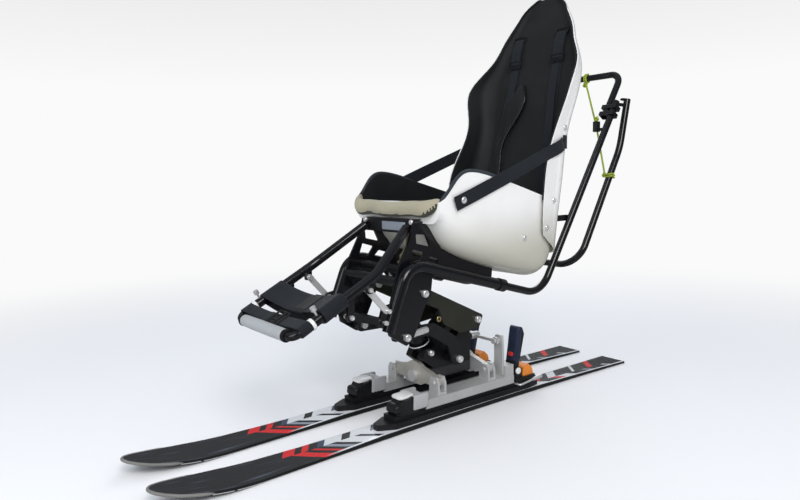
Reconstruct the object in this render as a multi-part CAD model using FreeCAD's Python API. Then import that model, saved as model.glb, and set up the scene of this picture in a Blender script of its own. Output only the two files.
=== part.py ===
import FreeCAD, Part
import math
import os

# Sit ski on two skis: a bucket seat on a tube frame, carried by a sprung parallel link on a
# column that leans over a pair of cross arms, so that both skis edge together.
# Millimetres. +X is the sitter's left, +Y is to the tails, +Z is up; the floor is z = 0.

# Fits
SEAT_GAP = 0.3
RUN_GAP = 0.05
# How far a cutting tool passes a face, and how deep a welded piece reaches into its neighbour
OVERCUT = 1.0
WELD = 1.0

# Skis
SKI_SPACING = 190.0
TIP_Y = -813.7
TAIL_Y = 809.0
SHOVEL_Y = -650.0
SHOVEL_HALF = 58.0
WAIST_Y = 40.0
WAIST_HALF = 36.0
TAIL_HALF = 47.0
TIP_RISE = 34.0
RISE_START_Y = -560.0
SKI_THICK = 14.0
TIP_THICK = 5.0
TAIL_THICK = 8.0

# Riser plate, sole beam and its clevises
RISER_FRONT_Y = -240.0
RISER_REAR_Y = 372.0
RISER_HALF = 33.0
RISER_TOP = 43.0
RISER_NOSE = 46.0
RISER_NOSE_SHARE = 0.4
RISER_STEP = 9.0
RISER_STEP_TOP = 30.0
RISER_CORNER = 6.0
BEAM_FRONT_Y = -90.0
BEAM_REAR_Y = 256.0
BEAM_HALF = 30.0
BEAM_TOP = 68.0
BEAM_BLOCK_TOP = 101.0
BEAM_BLOCK_LENGTH = 34.0
SOLE_TONGUE = 22.0
TONGUE_HALF = 20.0
TONGUE_LOW = 6.0
TONGUE_DROP = 2.0
BEAM_WALL = 6.0
BLOCK_INSET = 2.0
CLEVIS_FOOT = 5.0
EAR_TOP_SHARE = 0.6
PIN_END = 4.0
EAR_THICK = 7.0
EAR_HALF = 19.0
EAR_RISE = 17.0
PIVOT_PIN_R = 6.0

# Lean mechanism
LEAN_Z = 98.0
FRONT_ARM_Y = -23.0
REAR_ARM_Y = 172.0
ARM_THICK = 16.0
ARM_CROWN = 42.0
ARM_END_R = 13.0
ARM_HIP_SHARE = 1.6
ARM_SOLE_SHARE = 0.55
SHAFT_R = 12.0
SHAFT_NUT_R = 17.0
SHAFT_NUT_LENGTH = 10.0
HOUSING_HALF = 31.0
HOUSING_TOP = 116.0
HOUSING_BOTTOM = 82.0
TIE_Z = 176.0
TIE_Y = 208.0
TIE_ROD_R = 5.0
TIE_EYE_R = 11.0
TIE_EYE_THICK = 10.0
TIE_EYE_SLACK = 1.0
TIE_SHANK_IN = 2.0
FORK_REACH = 12.0
FORK_ROOT = 4.0
FORK_HALF = 7.0
STUD_R = 5.0
UPRIGHT_THICK = 8.0
UPRIGHT_HALF = 17.0
UPRIGHT_TOP = 192.0
UPRIGHT_SHOULDER = 20.0
UPRIGHT_TOP_SHARE = 0.75
STUD_NUT = 5.0
STUD_NUT_WALL = 4.0
COLLAR_NUT = 6.0

# Column and suspension links
COLUMN_HALF = 38.0
CHEEK_GAP = 13.0
LINK_DY = 218.0
LINK_DZ = 105.0
UPPER_REAR_Y = 130.0
UPPER_REAR_Z = 254.0
PIVOT_STEP_Y = 62.0
PIVOT_STEP_Z = 109.0
UPPER_CHEEK_X = 88.0
LOWER_CHEEK_X = 76.0
CHEEK_THICK = 8.0
LINK_BOSS_R = 14.0
LINK_BOLT_R = 6.0
BOLT_HEAD_R = 10.0
BOLT_HEAD = 7.0
COLUMN_BOSS_R = 16.0
COLUMN_WEB_R = 22.0
TIE_BOSS_R = 12.0
TIE_BOSS_Y = 150.0
TIE_BORE_Y = 120.0

# Shock
SHOCK_LOW_Y = 0.0
SHOCK_LOW_Z = 165.0
SHOCK_TOP_Y = -95.0
SHOCK_TOP_Z = 400.0
SHOCK_EYE_R = 12.0
SHOCK_EYE_HALF = 12.0
SHOCK_BOLT_R = 5.0
SHOCK_CAN_R = 22.0
SHOCK_CAN_TOP = 130.0
SHOCK_FLANGE_R = 30.0
SHOCK_FLANGE_AT = 24.0
SHOCK_FLANGE_THICK = 6.0
SHOCK_ROD_R = 8.0
SHOCK_ROD_LENGTH = 143.0
SHOCK_BORE_R = 11.0
SHOCK_BORE_FLOOR = 44.0
SHOCK_TAB_THICK = 6.0
SHOCK_NECK_R = 11.0
SHOCK_NECK = 4.0
SHOCK_COLLAR_R = 15.0
SHOCK_COLLAR = (20.0, 32.0)
# Side views of the column, of the slot for the shock's eye and of the opening in the cheeks
COLUMN_SIDE = (
    (SHOCK_LOW_Y - 30, HOUSING_TOP + 34), (SHOCK_LOW_Y - 14, SHOCK_LOW_Z + 13),
    (SHOCK_LOW_Y + 14, SHOCK_LOW_Z + 11), (28.0, 198.0), (62.0, 236.0),
    (UPPER_REAR_Y - 24, UPPER_REAR_Z + 16), (UPPER_REAR_Y + 12, UPPER_REAR_Z + 18),
    (UPPER_REAR_Y + 24, UPPER_REAR_Z - 8), (157.0, TIE_Z), (157.0, HOUSING_TOP), (14.0, HOUSING_TOP),
)
COLUMN_SLOT = (
    (SHOCK_LOW_Y - 60, HOUSING_TOP + 20), (SHOCK_LOW_Y + 20, HOUSING_TOP + 20),
    (SHOCK_LOW_Y + 20, SHOCK_LOW_Z + 60), (SHOCK_LOW_Y - 60, SHOCK_LOW_Z + 60),
)
COLUMN_WINDOW = ((52.0, 150.0), (92.0, 178.0), (120.0, 226.0), (104.0, 238.0), (70.0, 214.0))
# Links in their own lines: distance from the rear pivot and height above the line of pivots
UPPER_CHEEK_REAR = ((-19.0, -17.0), (-19.0, 19.0))
UPPER_CHEEK_END = 19.0
UPPER_CHEEK_DEPTH = ((150.0, -19.0), (118.0, -52.0), (44.0, -56.0))
UPPER_WEB = ((62.0, 12.0), (62.0, 18.0), (168.0, 18.0), (168.0, 12.0))
# Lower link: offsets from its rear pivot, then from its front pivot
LOWER_CHEEK_REAR = ((20.0, -16.0), (16.0, 15.0), (-10.0, 68.0), (-90.0, 118.0))
LOWER_CHEEK_FRONT = ((-18.0, 17.0), (-18.0, -17.0))
LOWER_CHEEK_INNER = ((-106.0, 86.0), (-42.0, 46.0), (-20.0, -16.0))
LOWER_CROSS = (40.0, 10.0)

# Seat frame tubes
TUBE_X = 135.0
MAIN_R = 16.0
MAIN_WALL = 2.5
MAIN_FOOT = (-222.0, 277.0)
MAIN_CORNER = (-152.0, 448.0)
MAIN_REAR = (195.0, 350.0)
MAIN_BEND = 60.0
COLLAR_R = 18.5
COLLAR_LENGTH = 22.0
COLLAR_LIP = 4.0
COLLAR_BORE = 10.0
REAR_R = 11.0
REAR_WALL = 2.0
REAR_START_Y = 120.0
REAR_CORNER_Y = 364.0
REAR_TOP = (740.0, 903.0)
REAR_BEND = 90.0
PLATE_THICK = 7.7
LUG_THICK = 8.0
MAIN_LUG = ((-198.0, 352.0), (-238.0, 345.0), (-252.0, 301.0), (-216.0, 292.0))
SIDE_PLATE = (
    (-117.0, 553.0), (-75.0, 549.0), (-52.0, 530.0), (-40.0, 500.0), (-26.0, 474.0), (45.0, 446.0),
    (115.0, 424.0), (170.0, 404.0), (164.0, 354.0), (-48.0, 414.0), (-58.0, 398.0), (-65.0, 350.0),
    (-79.0, 336.0), (-128.0, 240.0), (-150.0, 227.0), (-204.0, 262.0), (-212.0, 300.0), (-187.0, 385.0),
    (-170.0, 440.0), (-136.0, 500.0),
)
SIDE_WINDOWS = (
    ((-114.0, 518.0), (-80.0, 515.0), (-64.0, 482.0), (-112.0, 494.0)),
    ((-124.0, 480.0), (-84.0, 468.0), (-104.0, 442.0), (-138.0, 442.0)),
    ((-84.0, 440.0), (-66.0, 456.0), (-34.0, 446.0), (-44.0, 430.0)),
)
CROSSBAR_Y = (-113.0, -90.6)
CROSSBAR_Z = (518.0, 556.0)
CROSSBAR_WALL = 3.0
CROSSBAR_BOLT_X = 104.0
CROSSBAR_BOLT_Z = 549.0
SHOCK_TUBE = (-118.0, 420.0)
SHOCK_TUBE_R = 11.0
SHOCK_TAB = (
    (SHOCK_TUBE[0] - 4, SHOCK_TUBE[1] + 9), (SHOCK_TOP_Y + 12, SHOCK_TOP_Z + 9),
    (SHOCK_TOP_Y + 12, SHOCK_TOP_Z - 11), (SHOCK_TOP_Y - 12, SHOCK_TOP_Z - 11),
    (SHOCK_TUBE[0] - 9, SHOCK_TUBE[1] - 5),
)
LATCH_PLATE = (
    (-104.0, 518.0), (-92.0, 518.0), (-90.0, 480.0), (-100.0, 446.0), (-124.0, 440.0), (-128.0, 456.0),
    (-108.0, 482.0),
)
LATCH_HOOK = (
    (-112.0, 462.0), (-100.0, 456.0), (-108.0, 440.0), (-122.0, 435.0), (-130.0, 440.0), (-118.0, 448.0),
)
LATCH_PIN_R = 6.0
LATCH_X = (66.0, 70.0)
HOOK_X = (56.0, 62.0)
LATCH_PIN = (54.0, 84.0, -112.0, 456.0)
CROSS_TUBES = ((-171.0, 398.0, 12.5), (-194.0, 290.0, 10.0), (148.0, 376.0, 8.0))

# Rear loop and handle
LOOP_TOP = (803.0, 914.0)
LOOP_KNEE = (765.0, 752.0)
LOOP_FOOT = (545.0, 372.0)
LOOP_BEND = 75.0
KNEE_BEND = 220.0
LOOP_RADII = (0.0, KNEE_BEND, LOOP_BEND, LOOP_BEND, KNEE_BEND, 0.0)
HANDLE_Z = 1003.0
HANDLE_DOWN = 170.0
HANDLE_BEND = 45.0
CLAMP_LENGTH = 15.0
CLAMP_HALF = 15.0
CLAMPS_AT = (26.0, 52.0)
# Bars from the rear tubes to the loop's top, and stubs to the back shell: ranges of x, y or z
LINK_BAR_X = (TUBE_X - 5, TUBE_X + 5)
LINK_BAR_Y = (REAR_TOP[0] - 6, LOOP_TOP[0])
LINK_BAR_Z = (REAR_TOP[1] - 14, REAR_TOP[1] - 4)
STUB_X = (TUBE_X - 19, TUBE_X - 9)
STUB_Y = 390.0
STUB_Z = (521.0, 539.0)
CLEAT_HALF = (8.0, 9.0, 17.0)
CLEAT_ARM_R = 5.0
CLEAT_ARM_DOWN = 10.2
ROPE_R = 3.2
ROPE_BEND = 60.0
ROPE_LINE = ((-31.0, 800.0, 989.4), (95.0, 690.0, 822.0), (121.0, 706.0, 655.0))

# Footrest
LEG_R = 12.5
LEG_WALL = 2.2
LEG_X = 147.0
LEG_TOP_X = 93.0
LEG_TOP = (-124.0, 534.0)
LEG_KNEE = (-265.0, 430.0)
LEG_END_Y = -451.0
LEG_KNEE_BEND = 120.0
LEG_RING = 8.0
LEG_RING_WALL = 1.2
# Lug on the crossbar, then the feet and tops of both tabs, as steps from the bolts they carry
LEG_LUG = (
    (LEG_TOP_X - 6, LEG_TOP_X + 6), (LEG_TOP[0] - 4, CROSSBAR_Y[0]), (LEG_TOP[1] - 10, LEG_TOP[1] + 8),
)
UP_TAB = (12.0, 9.0, 9.0)
BAR_TAB = (10.0, 9.0, 10.0)
STAY_X = 140.0
STAY_THICK = 5.0
STAY_UP = (-285.0, 396.0)
STAY_LOW = (-230.0, 336.0)
STAY_BOLT_R = 3.5
STAY_HEAD_R = 6.0
BAR_UP = (-341.0, 336.0)
BAR_LOW = (-240.0, 308.0)
STAY_HEAD = 4.0
STAY_REACH = 1.0
SCREW_BACK = 22.0
SCREW_SHANK = (0.0, 14.0, 3.0)
SCREW_WING = (12.0, 22.0, 7.0)
LINK_NUT = 8.0
SLIDER_OUT = 44.0
FOOT_BAR = (LEG_END_Y - SLIDER_OUT, 311.0)
SLIDER_R = 10.0
SLIDER_INSERT = 110.0
FOOT_BAR_BEND = 24.0
ROLL_R = 15.0
ROLL_HALF = 108.0
STRAP_THICK = 2.5
# Straps of the footrest: droop angle, then the distances of both edges from the foot bar
CALF_STRAP = (18.0, 151.0, 84.0)
FOOT_STRAP = (-3.0, 49.0, 17.0)

# Seat shells: stations down the bucket (y, floor, rim, half width at rim, half width of floor)
SHELL_THICK = 4.0
LINER_THICK = 5.0
LINER_GAP = 0.4
RIM_OVER = 40.0
FRONT_OVER = 40.0
SEAT_REACH = 320.0
BACK_CHAMFER = ((240.0, 528.0), (440.0, 402.0), (440.0, 300.0), (240.0, 300.0))
BUCKET = (
    (-90.0, 545.0, 600.0, 187.0, 140.0),
    (-64.0, 527.0, 626.0, 191.0, 128.0),
    (-34.0, 486.0, 662.0, 195.0, 118.0),
    (20.0, 452.0, 679.0, 199.0, 112.0),
    (100.0, 422.0, 663.0, 200.0, 108.0),
    (190.0, 395.0, 638.0, 199.0, 106.0),
    (270.0, 374.0, 615.0, 196.0, 104.0),
    (335.0, 366.0, 598.0, 187.0, 100.0),
    (372.0, 383.0, 590.0, 169.0, 88.0),
    (388.0, 420.0, 586.0, 150.0, 72.0),
)
# Stations up the back (z, front edge y, rear y, half width at front edge, half width of rear)
BACK = (
    (420.0, 322.0, 398.0, 194.0, 121.0),
    (465.0, 306.0, 401.0, 198.0, 125.0),
    (520.0, 292.0, 404.0, 205.0, 130.0),
    (600.0, 292.0, 414.0, 208.0, 136.0),
    (680.0, 308.0, 430.0, 203.0, 138.0),
    (760.0, 344.0, 447.0, 192.0, 140.0),
    (840.0, 378.0, 466.0, 196.0, 142.0),
    (900.0, 390.0, 479.0, 212.0, 142.0),
    (950.0, 406.0, 490.0, 218.0, 138.0),
    (1000.0, 444.0, 502.0, 203.0, 130.0),
    (1050.0, 478.0, 514.0, 172.0, 116.0),
    (1110.0, 500.0, 530.0, 144.0, 96.0),
    (1170.0, 522.0, 546.0, 108.0, 70.0),
    (1215.0, 540.0, 558.0, 74.0, 44.0),
    (1238.0, 551.0, 565.0, 34.0, 18.0),
)

SKI_X = SKI_SPACING / 2
ORIGIN = FreeCAD.Vector(0, 0, 0)
SIDES = (("left", 1), ("right", -1))
nodes = {}


def vec(x, y, z):
    return FreeCAD.Vector(x, y, z)


def corner(before, at, after, radius):
    """Tangent point, middle and tangent point of the arc that rounds a corner."""
    back = (before - at).normalize()
    ahead = (after - at).normalize()
    half = back.getAngle(ahead) / 2
    reach = radius / math.tan(half)
    inward = (back + ahead).normalize()
    middle = at + inward * (radius / math.sin(half) - radius)
    return at + back * reach, middle, at + ahead * reach


def rounded_edges(points, radii, closed):
    """Straight edges through the points, joined by tangent arcs at the corners."""
    count = len(points)
    first = 0 if closed else 1
    last = count if closed else count - 1
    arcs = {}
    for i in range(first, last):
        if radii[i] > 0:
            arcs[i] = corner(points[i - 1], points[i], points[(i + 1) % count], radii[i])
    edges = []
    for i in range(count if closed else count - 1):
        j = (i + 1) % count
        start = arcs[i][2] if i in arcs else points[i]
        end = arcs[j][0] if j in arcs else points[j]
        if (end - start).Length > 0.001:
            edges.append(Part.LineSegment(start, end).toShape())
        if j in arcs:
            edges.append(Part.Arc(*arcs[j]).toShape())
    return Part.Wire(edges)


def outline(points, radius=0.0):
    """Closed outline with every corner rounded to one radius."""
    return rounded_edges(points, [radius] * len(points), True)


def plate(axis, points, low, high, radius=0.0, windows=()):
    """Flat plate across an axis. Its outline and windows are given by the other two coordinates."""
    lift = {
        "x": lambda p: vec(low, p[0], p[1]),
        "y": lambda p: vec(p[0], low, p[1]),
        "z": lambda p: vec(p[0], p[1], low),
    }[axis]
    push = {"x": vec(high - low, 0, 0), "y": vec(0, high - low, 0), "z": vec(0, 0, high - low)}[axis]
    solid = Part.Face(outline([lift(p) for p in points], radius)).extrude(push)
    for window in windows:
        solid = solid.cut(Part.Face(outline([lift(p) for p in window], radius / 2)).extrude(push))
    return solid


def box(x, y, z):
    """Block between the low and high value of each pair."""
    return Part.makeBox(x[1] - x[0], y[1] - y[0], z[1] - z[0], vec(x[0], y[0], z[0]))


def rod(start, end, radius):
    """Solid cylinder from one point to another."""
    return Part.makeCylinder(radius, (end - start).Length, start, end - start)


def x_rod(low, high, y, z, radius):
    return rod(vec(low, y, z), vec(high, y, z), radius)


def y_rod(x, low, high, z, radius):
    return rod(vec(x, low, z), vec(x, high, z), radius)


def sweep(points, radii, radius):
    """Round bar along straight runs joined by tangent arcs."""
    path = rounded_edges(points, radii, False)
    section = Part.Wire(Part.makeCircle(radius, points[0], points[1] - points[0]))
    return path.makePipeShell([section], True, True)


def tube(points, radii, radius, wall):
    """Round tube, open at both ends."""
    return sweep(points, radii, radius).cut(sweep(points, radii, radius - wall))


def mirrored(shape):
    return shape.mirror(ORIGIN, vec(1, 0, 0))


def keep(name, *solids):
    """Keep one named piece, or a group of separate solids under one name."""
    nodes[name] = solids[0] if len(solids) == 1 else Part.makeCompound(list(solids))


def keep_pair(name, shape):
    """Keep a left piece and its mirror image."""
    keep("left_" + name, shape)
    keep("right_" + name, mirrored(shape))


def both(shape):
    """A left solid and its mirror image, for one node."""
    return shape, mirrored(shape)


def point_along(start, end, distance):
    """Point at a distance from the start towards the end."""
    return start + (end - start).normalize() * distance


# Skis

def make_ski():
    """Side cut outline crossed with the side profile, on the centre of one ski."""
    shovel = vec(SHOVEL_HALF, SHOVEL_Y, 0)
    waist = vec(WAIST_HALF, WAIST_Y, 0)
    tail = vec(TAIL_HALF, TAIL_Y, 0)
    nose = Part.Ellipse(vec(0, TIP_Y, 0), shovel, vec(0, SHOVEL_Y, 0))
    side = Part.Arc(shovel, waist, tail).toShape()
    edges = [
        Part.ArcOfEllipse(nose, -math.pi / 2, math.pi / 2).toShape(),
        side, mirrored(side),
        Part.LineSegment(tail, vec(-TAIL_HALF, TAIL_Y, 0)).toShape(),
    ]
    depth = TIP_RISE + SKI_THICK + SHOVEL_HALF
    plan = Part.Face(Part.Wire(Part.__sortEdges__(edges))).extrude(vec(0, 0, depth))

    def at(y, z):
        return vec(-SHOVEL_HALF * 2, y, z)

    rise_mid_y = (TIP_Y + RISE_START_Y) / 2
    base = [
        Part.LineSegment(at(TAIL_Y, 0), at(RISE_START_Y, 0)).toShape(),
        Part.Arc(at(RISE_START_Y, 0), at(rise_mid_y, TIP_RISE * 0.25), at(TIP_Y, TIP_RISE)).toShape(),
        Part.LineSegment(at(TIP_Y, TIP_RISE), at(TIP_Y, TIP_RISE + TIP_THICK)).toShape(),
    ]
    top = Part.BSplineCurve()
    top.interpolate([
        at(TIP_Y, TIP_RISE + TIP_THICK),
        at(rise_mid_y, TIP_RISE * 0.25 + TIP_THICK * 1.3),
        at(RISE_START_Y, TIP_THICK * 1.6),
        at(RISER_FRONT_Y, SKI_THICK),
        at(RISER_REAR_Y, SKI_THICK),
        at(TAIL_Y, TAIL_THICK),
    ])
    base.append(top.toShape())
    base.append(Part.LineSegment(at(TAIL_Y, TAIL_THICK), at(TAIL_Y, 0)).toShape())
    profile = Part.Face(Part.Wire(base)).extrude(vec(SHOVEL_HALF * 4, 0, 0))
    ski = plan.common(profile)
    # flat seat for the riser plate
    seat = box((-SHOVEL_HALF, SHOVEL_HALF), (RISER_FRONT_Y, RISER_REAR_Y), (SKI_THICK, SKI_THICK * 2))
    return ski.cut(seat)


def make_riser():
    """Plate between ski and binding, pointed in front and stepped in along its sides."""
    waist = RISER_HALF - RISER_STEP
    tip = waist * RISER_NOSE_SHARE
    front = RISER_FRONT_Y + RISER_NOSE
    rear = RISER_REAR_Y - RISER_NOSE
    low = plate("z", [
        (-tip, RISER_FRONT_Y), (tip, RISER_FRONT_Y), (RISER_HALF, front), (RISER_HALF, rear),
        (waist, RISER_REAR_Y), (-waist, RISER_REAR_Y), (-RISER_HALF, rear), (-RISER_HALF, front),
    ], SKI_THICK, RISER_STEP_TOP, RISER_CORNER)
    track = box((-waist, waist), (front, RISER_REAR_Y - RISER_STEP), (RISER_STEP_TOP, RISER_TOP))
    return low.fuse(track)


TOE_FRONT_Y = -183.0
TOE_REAR_Y = -113.5
TOE_TOP = 88.0
TOE_HALF = 30.0
TOE_NOSE_OUT = 6.0
TOE_NOSE_SHARE = 0.55
TOE_TAPER = 34.0
# Side view of the toe housing, then one jaw as ranges of x, y and z
TOE_SIDE = (
    (TOE_FRONT_Y, RISER_TOP), (TOE_FRONT_Y - 4, RISER_TOP + 12), (TOE_FRONT_Y + 22, TOE_TOP - 8),
    (TOE_FRONT_Y + 48, TOE_TOP), (TOE_REAR_Y, TOE_TOP - 6), (TOE_REAR_Y, RISER_TOP),
)
JAW = (
    (TOE_HALF - 9, TOE_HALF + 1), (TOE_REAR_Y - 8, TOE_REAR_Y + 20), (RISER_TOP + 5, BEAM_TOP + 2),
)


def make_toe_piece():
    """Toe housing with a sloping nose, two jaws and the slot that takes the sole's tongue."""
    nose = TOE_HALF * TOE_NOSE_SHARE
    front = TOE_FRONT_Y - TOE_NOSE_OUT
    taper = TOE_FRONT_Y + TOE_TAPER
    plan = [
        (-nose, front), (nose, front), (TOE_HALF, taper), (TOE_HALF, TOE_REAR_Y),
        (-TOE_HALF, TOE_REAR_Y), (-TOE_HALF, taper),
    ]
    housing = plate("x", TOE_SIDE, -TOE_HALF, TOE_HALF, 4.0).common(
        plate("z", plan, RISER_TOP, TOE_TOP + OVERCUT, 7.0))
    jaw = box(*JAW)
    return housing.fuse(jaw).fuse(mirrored(jaw))


def make_sole_beam():
    """Flat boot sole: a hollow beam with a tongue for the toe piece and a tall heel block."""
    beam = box((-BEAM_HALF, BEAM_HALF), (BEAM_FRONT_Y, BEAM_REAR_Y), (RISER_TOP + SEAT_GAP, BEAM_TOP))
    inner = BEAM_HALF - BEAM_WALL
    block_half = BEAM_HALF - BLOCK_INSET
    block_front = BEAM_REAR_Y - BEAM_BLOCK_LENGTH
    pocket = box(
        (-inner, inner), (BEAM_FRONT_Y + BEAM_WALL * 3, block_front),
        (RISER_TOP - OVERCUT, BEAM_TOP - BEAM_WALL))
    block = box((-block_half, block_half), (block_front, BEAM_REAR_Y), (BEAM_TOP, BEAM_BLOCK_TOP))
    tongue = box(
        (-TONGUE_HALF, TONGUE_HALF), (BEAM_FRONT_Y - SOLE_TONGUE, BEAM_FRONT_Y),
        (RISER_TOP + TONGUE_LOW, BEAM_TOP - TONGUE_DROP))
    return beam.cut(pocket).fuse(block).fuse(tongue).removeSplitter()


def make_clevis(y):
    """Two ears on a foot, with the pin between them that one cross arm turns on."""
    gap = ARM_THICK / 2 + SEAT_GAP
    reach = gap + EAR_THICK
    top = EAR_HALF * EAR_TOP_SHARE
    foot = box((-EAR_HALF, EAR_HALF), (y - reach, y + reach), (BEAM_TOP, BEAM_TOP + CLEVIS_FOOT))
    pieces = [foot]
    for side in (-1, 1):
        low = y + gap if side > 0 else y - gap - EAR_THICK
        pieces.append(plate("y", [
            (-EAR_HALF, BEAM_TOP), (EAR_HALF, BEAM_TOP), (EAR_HALF, LEAN_Z),
            (top, LEAN_Z + EAR_RISE), (-top, LEAN_Z + EAR_RISE), (-EAR_HALF, LEAN_Z),
        ], low, low + EAR_THICK, 2.5))
    end = reach + PIN_END
    clevis = pieces[0].multiFuse(pieces[1:] + [y_rod(0, y - end, y + end, LEAN_Z, PIVOT_PIN_R)])
    return clevis.removeSplitter()


def make_upright():
    """Plate behind the heel block, up to the stud that one tie rod hangs on."""
    shoulder = TIE_Z - UPRIGHT_SHOULDER
    top = UPRIGHT_HALF * UPRIGHT_TOP_SHARE
    eye_front = TIE_Y - TIE_EYE_THICK / 2 - OVERCUT
    plate_front = TIE_Y + TIE_EYE_THICK / 2 + COLLAR_NUT
    plate_rear = plate_front + UPRIGHT_THICK
    body = plate("y", [
        (-UPRIGHT_HALF, BEAM_TOP), (UPRIGHT_HALF, BEAM_TOP), (UPRIGHT_HALF, shoulder),
        (top, UPRIGHT_TOP), (-top, UPRIGHT_TOP), (-UPRIGHT_HALF, shoulder),
    ], plate_front, plate_rear, 6.0)
    block = box((-BEAM_HALF, BEAM_HALF), (BEAM_REAR_Y - BEAM_BLOCK_LENGTH, BEAM_REAR_Y), (0, BEAM_BLOCK_TOP))
    stud = y_rod(0, eye_front - COLLAR_NUT, plate_rear + STUD_NUT, TIE_Z, STUD_R)
    nut = y_rod(0, plate_rear, plate_rear + STUD_NUT, TIE_Z, STUD_R + STUD_NUT_WALL)
    front_nut = y_rod(0, eye_front - COLLAR_NUT, eye_front, TIE_Z, STUD_R + STUD_NUT_WALL - 1)
    return body.cut(block).fuse(stud).fuse(nut).fuse(front_nut)


HEEL_FRONT_Y = 262.0
HEEL_REAR_Y = 350.0
HEEL_HALF = 31.0
HEEL_TRACK_TOP = 54.0
HEEL_TOP = 90.0
LEVER_PIVOT_Y = 277.0
LEVER_PIVOT_Z = 74.0
LEVER_HALF = 20.0
LEVER_TOP = (303.0, 206.0)
LEVER_FOOT_R = 9.0
BRAKE_X = 46.0
BRAKE_PIVOT_Y = 266.0
BRAKE_PIVOT_Z = 38.0
BRAKE_END_Y = 352.0
BRAKE_END_Z = 47.0
BRAKE_WIRE_R = 3.0
BRAKE_BEND = 7.0
BRAKE_FOOT = (26.0, -9.0)
BRAKE_FOOT_WALL = 2.5
LEVER_BORE_R = 4.0
CHEEK_WALL = 6.7
# Side views of the lever's cheek, of the spring housing and of the lever's blade
HEEL_CHEEK = (
    (HEEL_FRONT_Y + 3, HEEL_TRACK_TOP - 2), (HEEL_FRONT_Y + 34, HEEL_TRACK_TOP - 2),
    (HEEL_FRONT_Y + 30, LEVER_PIVOT_Z + 9), (HEEL_FRONT_Y + 8, LEVER_PIVOT_Z + 9),
)
HEEL_SIDE = (
    (HEEL_FRONT_Y + 36, HEEL_TRACK_TOP), (HEEL_REAR_Y - 2, HEEL_TRACK_TOP),
    (HEEL_REAR_Y - 8, HEEL_TRACK_TOP + 20), (HEEL_REAR_Y - 26, HEEL_TOP),
    (HEEL_FRONT_Y + 42, HEEL_TOP - 9),
)
HEEL_INSET = 5.0
LEVER_SIDE = (
    (LEVER_PIVOT_Y - 7, LEVER_PIVOT_Z), (LEVER_PIVOT_Y + 8, LEVER_PIVOT_Z),
    (LEVER_TOP[0] + 9, LEVER_TOP[1] - 22), LEVER_TOP, (LEVER_TOP[0] - 12, LEVER_TOP[1] - 12),
    (LEVER_TOP[0] - 17, LEVER_TOP[1] - 40),
)


def make_heel_base():
    """Heel track with the two cheeks that carry the lever, grooved for the brake's shaft."""
    track = box((-HEEL_HALF, HEEL_HALF), (HEEL_FRONT_Y, HEEL_REAR_Y), (RISER_TOP, HEEL_TRACK_TOP))
    inner = LEVER_HALF + SEAT_GAP
    cheek = plate("x", HEEL_CHEEK, inner, inner + CHEEK_WALL, 3.0)
    reach = inner + CHEEK_WALL + 2
    pin = x_rod(-reach, reach, LEVER_PIVOT_Y, LEVER_PIVOT_Z, LEVER_BORE_R)
    return track.multiFuse([cheek, mirrored(cheek), pin])


def make_heel_housing():
    """Spring housing behind the lever, rounded over the top."""
    half = HEEL_HALF - HEEL_INSET
    return plate("x", HEEL_SIDE, -half, half, 4.5)


def make_heel_lever():
    """Tall lever with a rounded foot about its pin."""
    foot = x_rod(-LEVER_HALF, LEVER_HALF, LEVER_PIVOT_Y, LEVER_PIVOT_Z, LEVER_FOOT_R)
    blade = plate("x", LEVER_SIDE, -LEVER_HALF, LEVER_HALF, 3.5)
    reach = LEVER_HALF + OVERCUT
    bore = x_rod(-reach, reach, LEVER_PIVOT_Y, LEVER_PIVOT_Z, LEVER_BORE_R + RUN_GAP)
    return foot.fuse(blade).cut(bore)


def make_brake():
    """Bent wire across the riser plate with an arm and a plastic foot at each side of the ski."""
    arm_end = vec(BRAKE_X, BRAKE_END_Y, BRAKE_END_Z)
    wire = sweep([
        vec(-BRAKE_X, BRAKE_END_Y, BRAKE_END_Z), vec(-BRAKE_X, BRAKE_PIVOT_Y, BRAKE_PIVOT_Z),
        vec(BRAKE_X, BRAKE_PIVOT_Y, BRAKE_PIVOT_Z), arm_end,
    ], [0, BRAKE_BEND, BRAKE_BEND, 0], BRAKE_WIRE_R)
    pivot = vec(BRAKE_X, BRAKE_PIVOT_Y, BRAKE_PIVOT_Z)
    ends = [point_along(arm_end, pivot, distance) for distance in BRAKE_FOOT]
    foot = rod(*ends, BRAKE_WIRE_R + BRAKE_FOOT_WALL)
    return wire.multiFuse([foot, mirrored(foot)])


def make_skis():
    channel_half = BRAKE_WIRE_R + SEAT_GAP
    channel = box(
        (-SHOVEL_HALF, SHOVEL_HALF), (BRAKE_PIVOT_Y - channel_half, BRAKE_PIVOT_Y + channel_half),
        (BRAKE_PIVOT_Z - channel_half, RISER_TOP + 1))
    beam = make_sole_beam()
    upright = make_upright()
    pieces = {
        "ski": make_ski(),
        "riser_plate": make_riser().cut(channel),
        "toe_piece": make_toe_piece().cut(box(
            (-TONGUE_HALF - SEAT_GAP, TONGUE_HALF + SEAT_GAP), (TOE_REAR_Y, BEAM_FRONT_Y),
            (RISER_TOP + TONGUE_LOW - SEAT_GAP, BEAM_TOP))),
        "sole_beam": beam,
        "pivot_brackets": Part.makeCompound([make_clevis(FRONT_ARM_Y), make_clevis(REAR_ARM_Y)]),
        "upright": upright,
        "heel_base": make_heel_base(),
        "heel_housing": make_heel_housing(),
        "heel_lever": make_heel_lever(),
        "ski_brake": make_brake(),
    }
    for name, shape in pieces.items():
        for side, sign in SIDES:
            keep(side + "_" + name, shape.translated(vec(sign * SKI_X, 0, 0)))


# Lean mechanism

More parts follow.
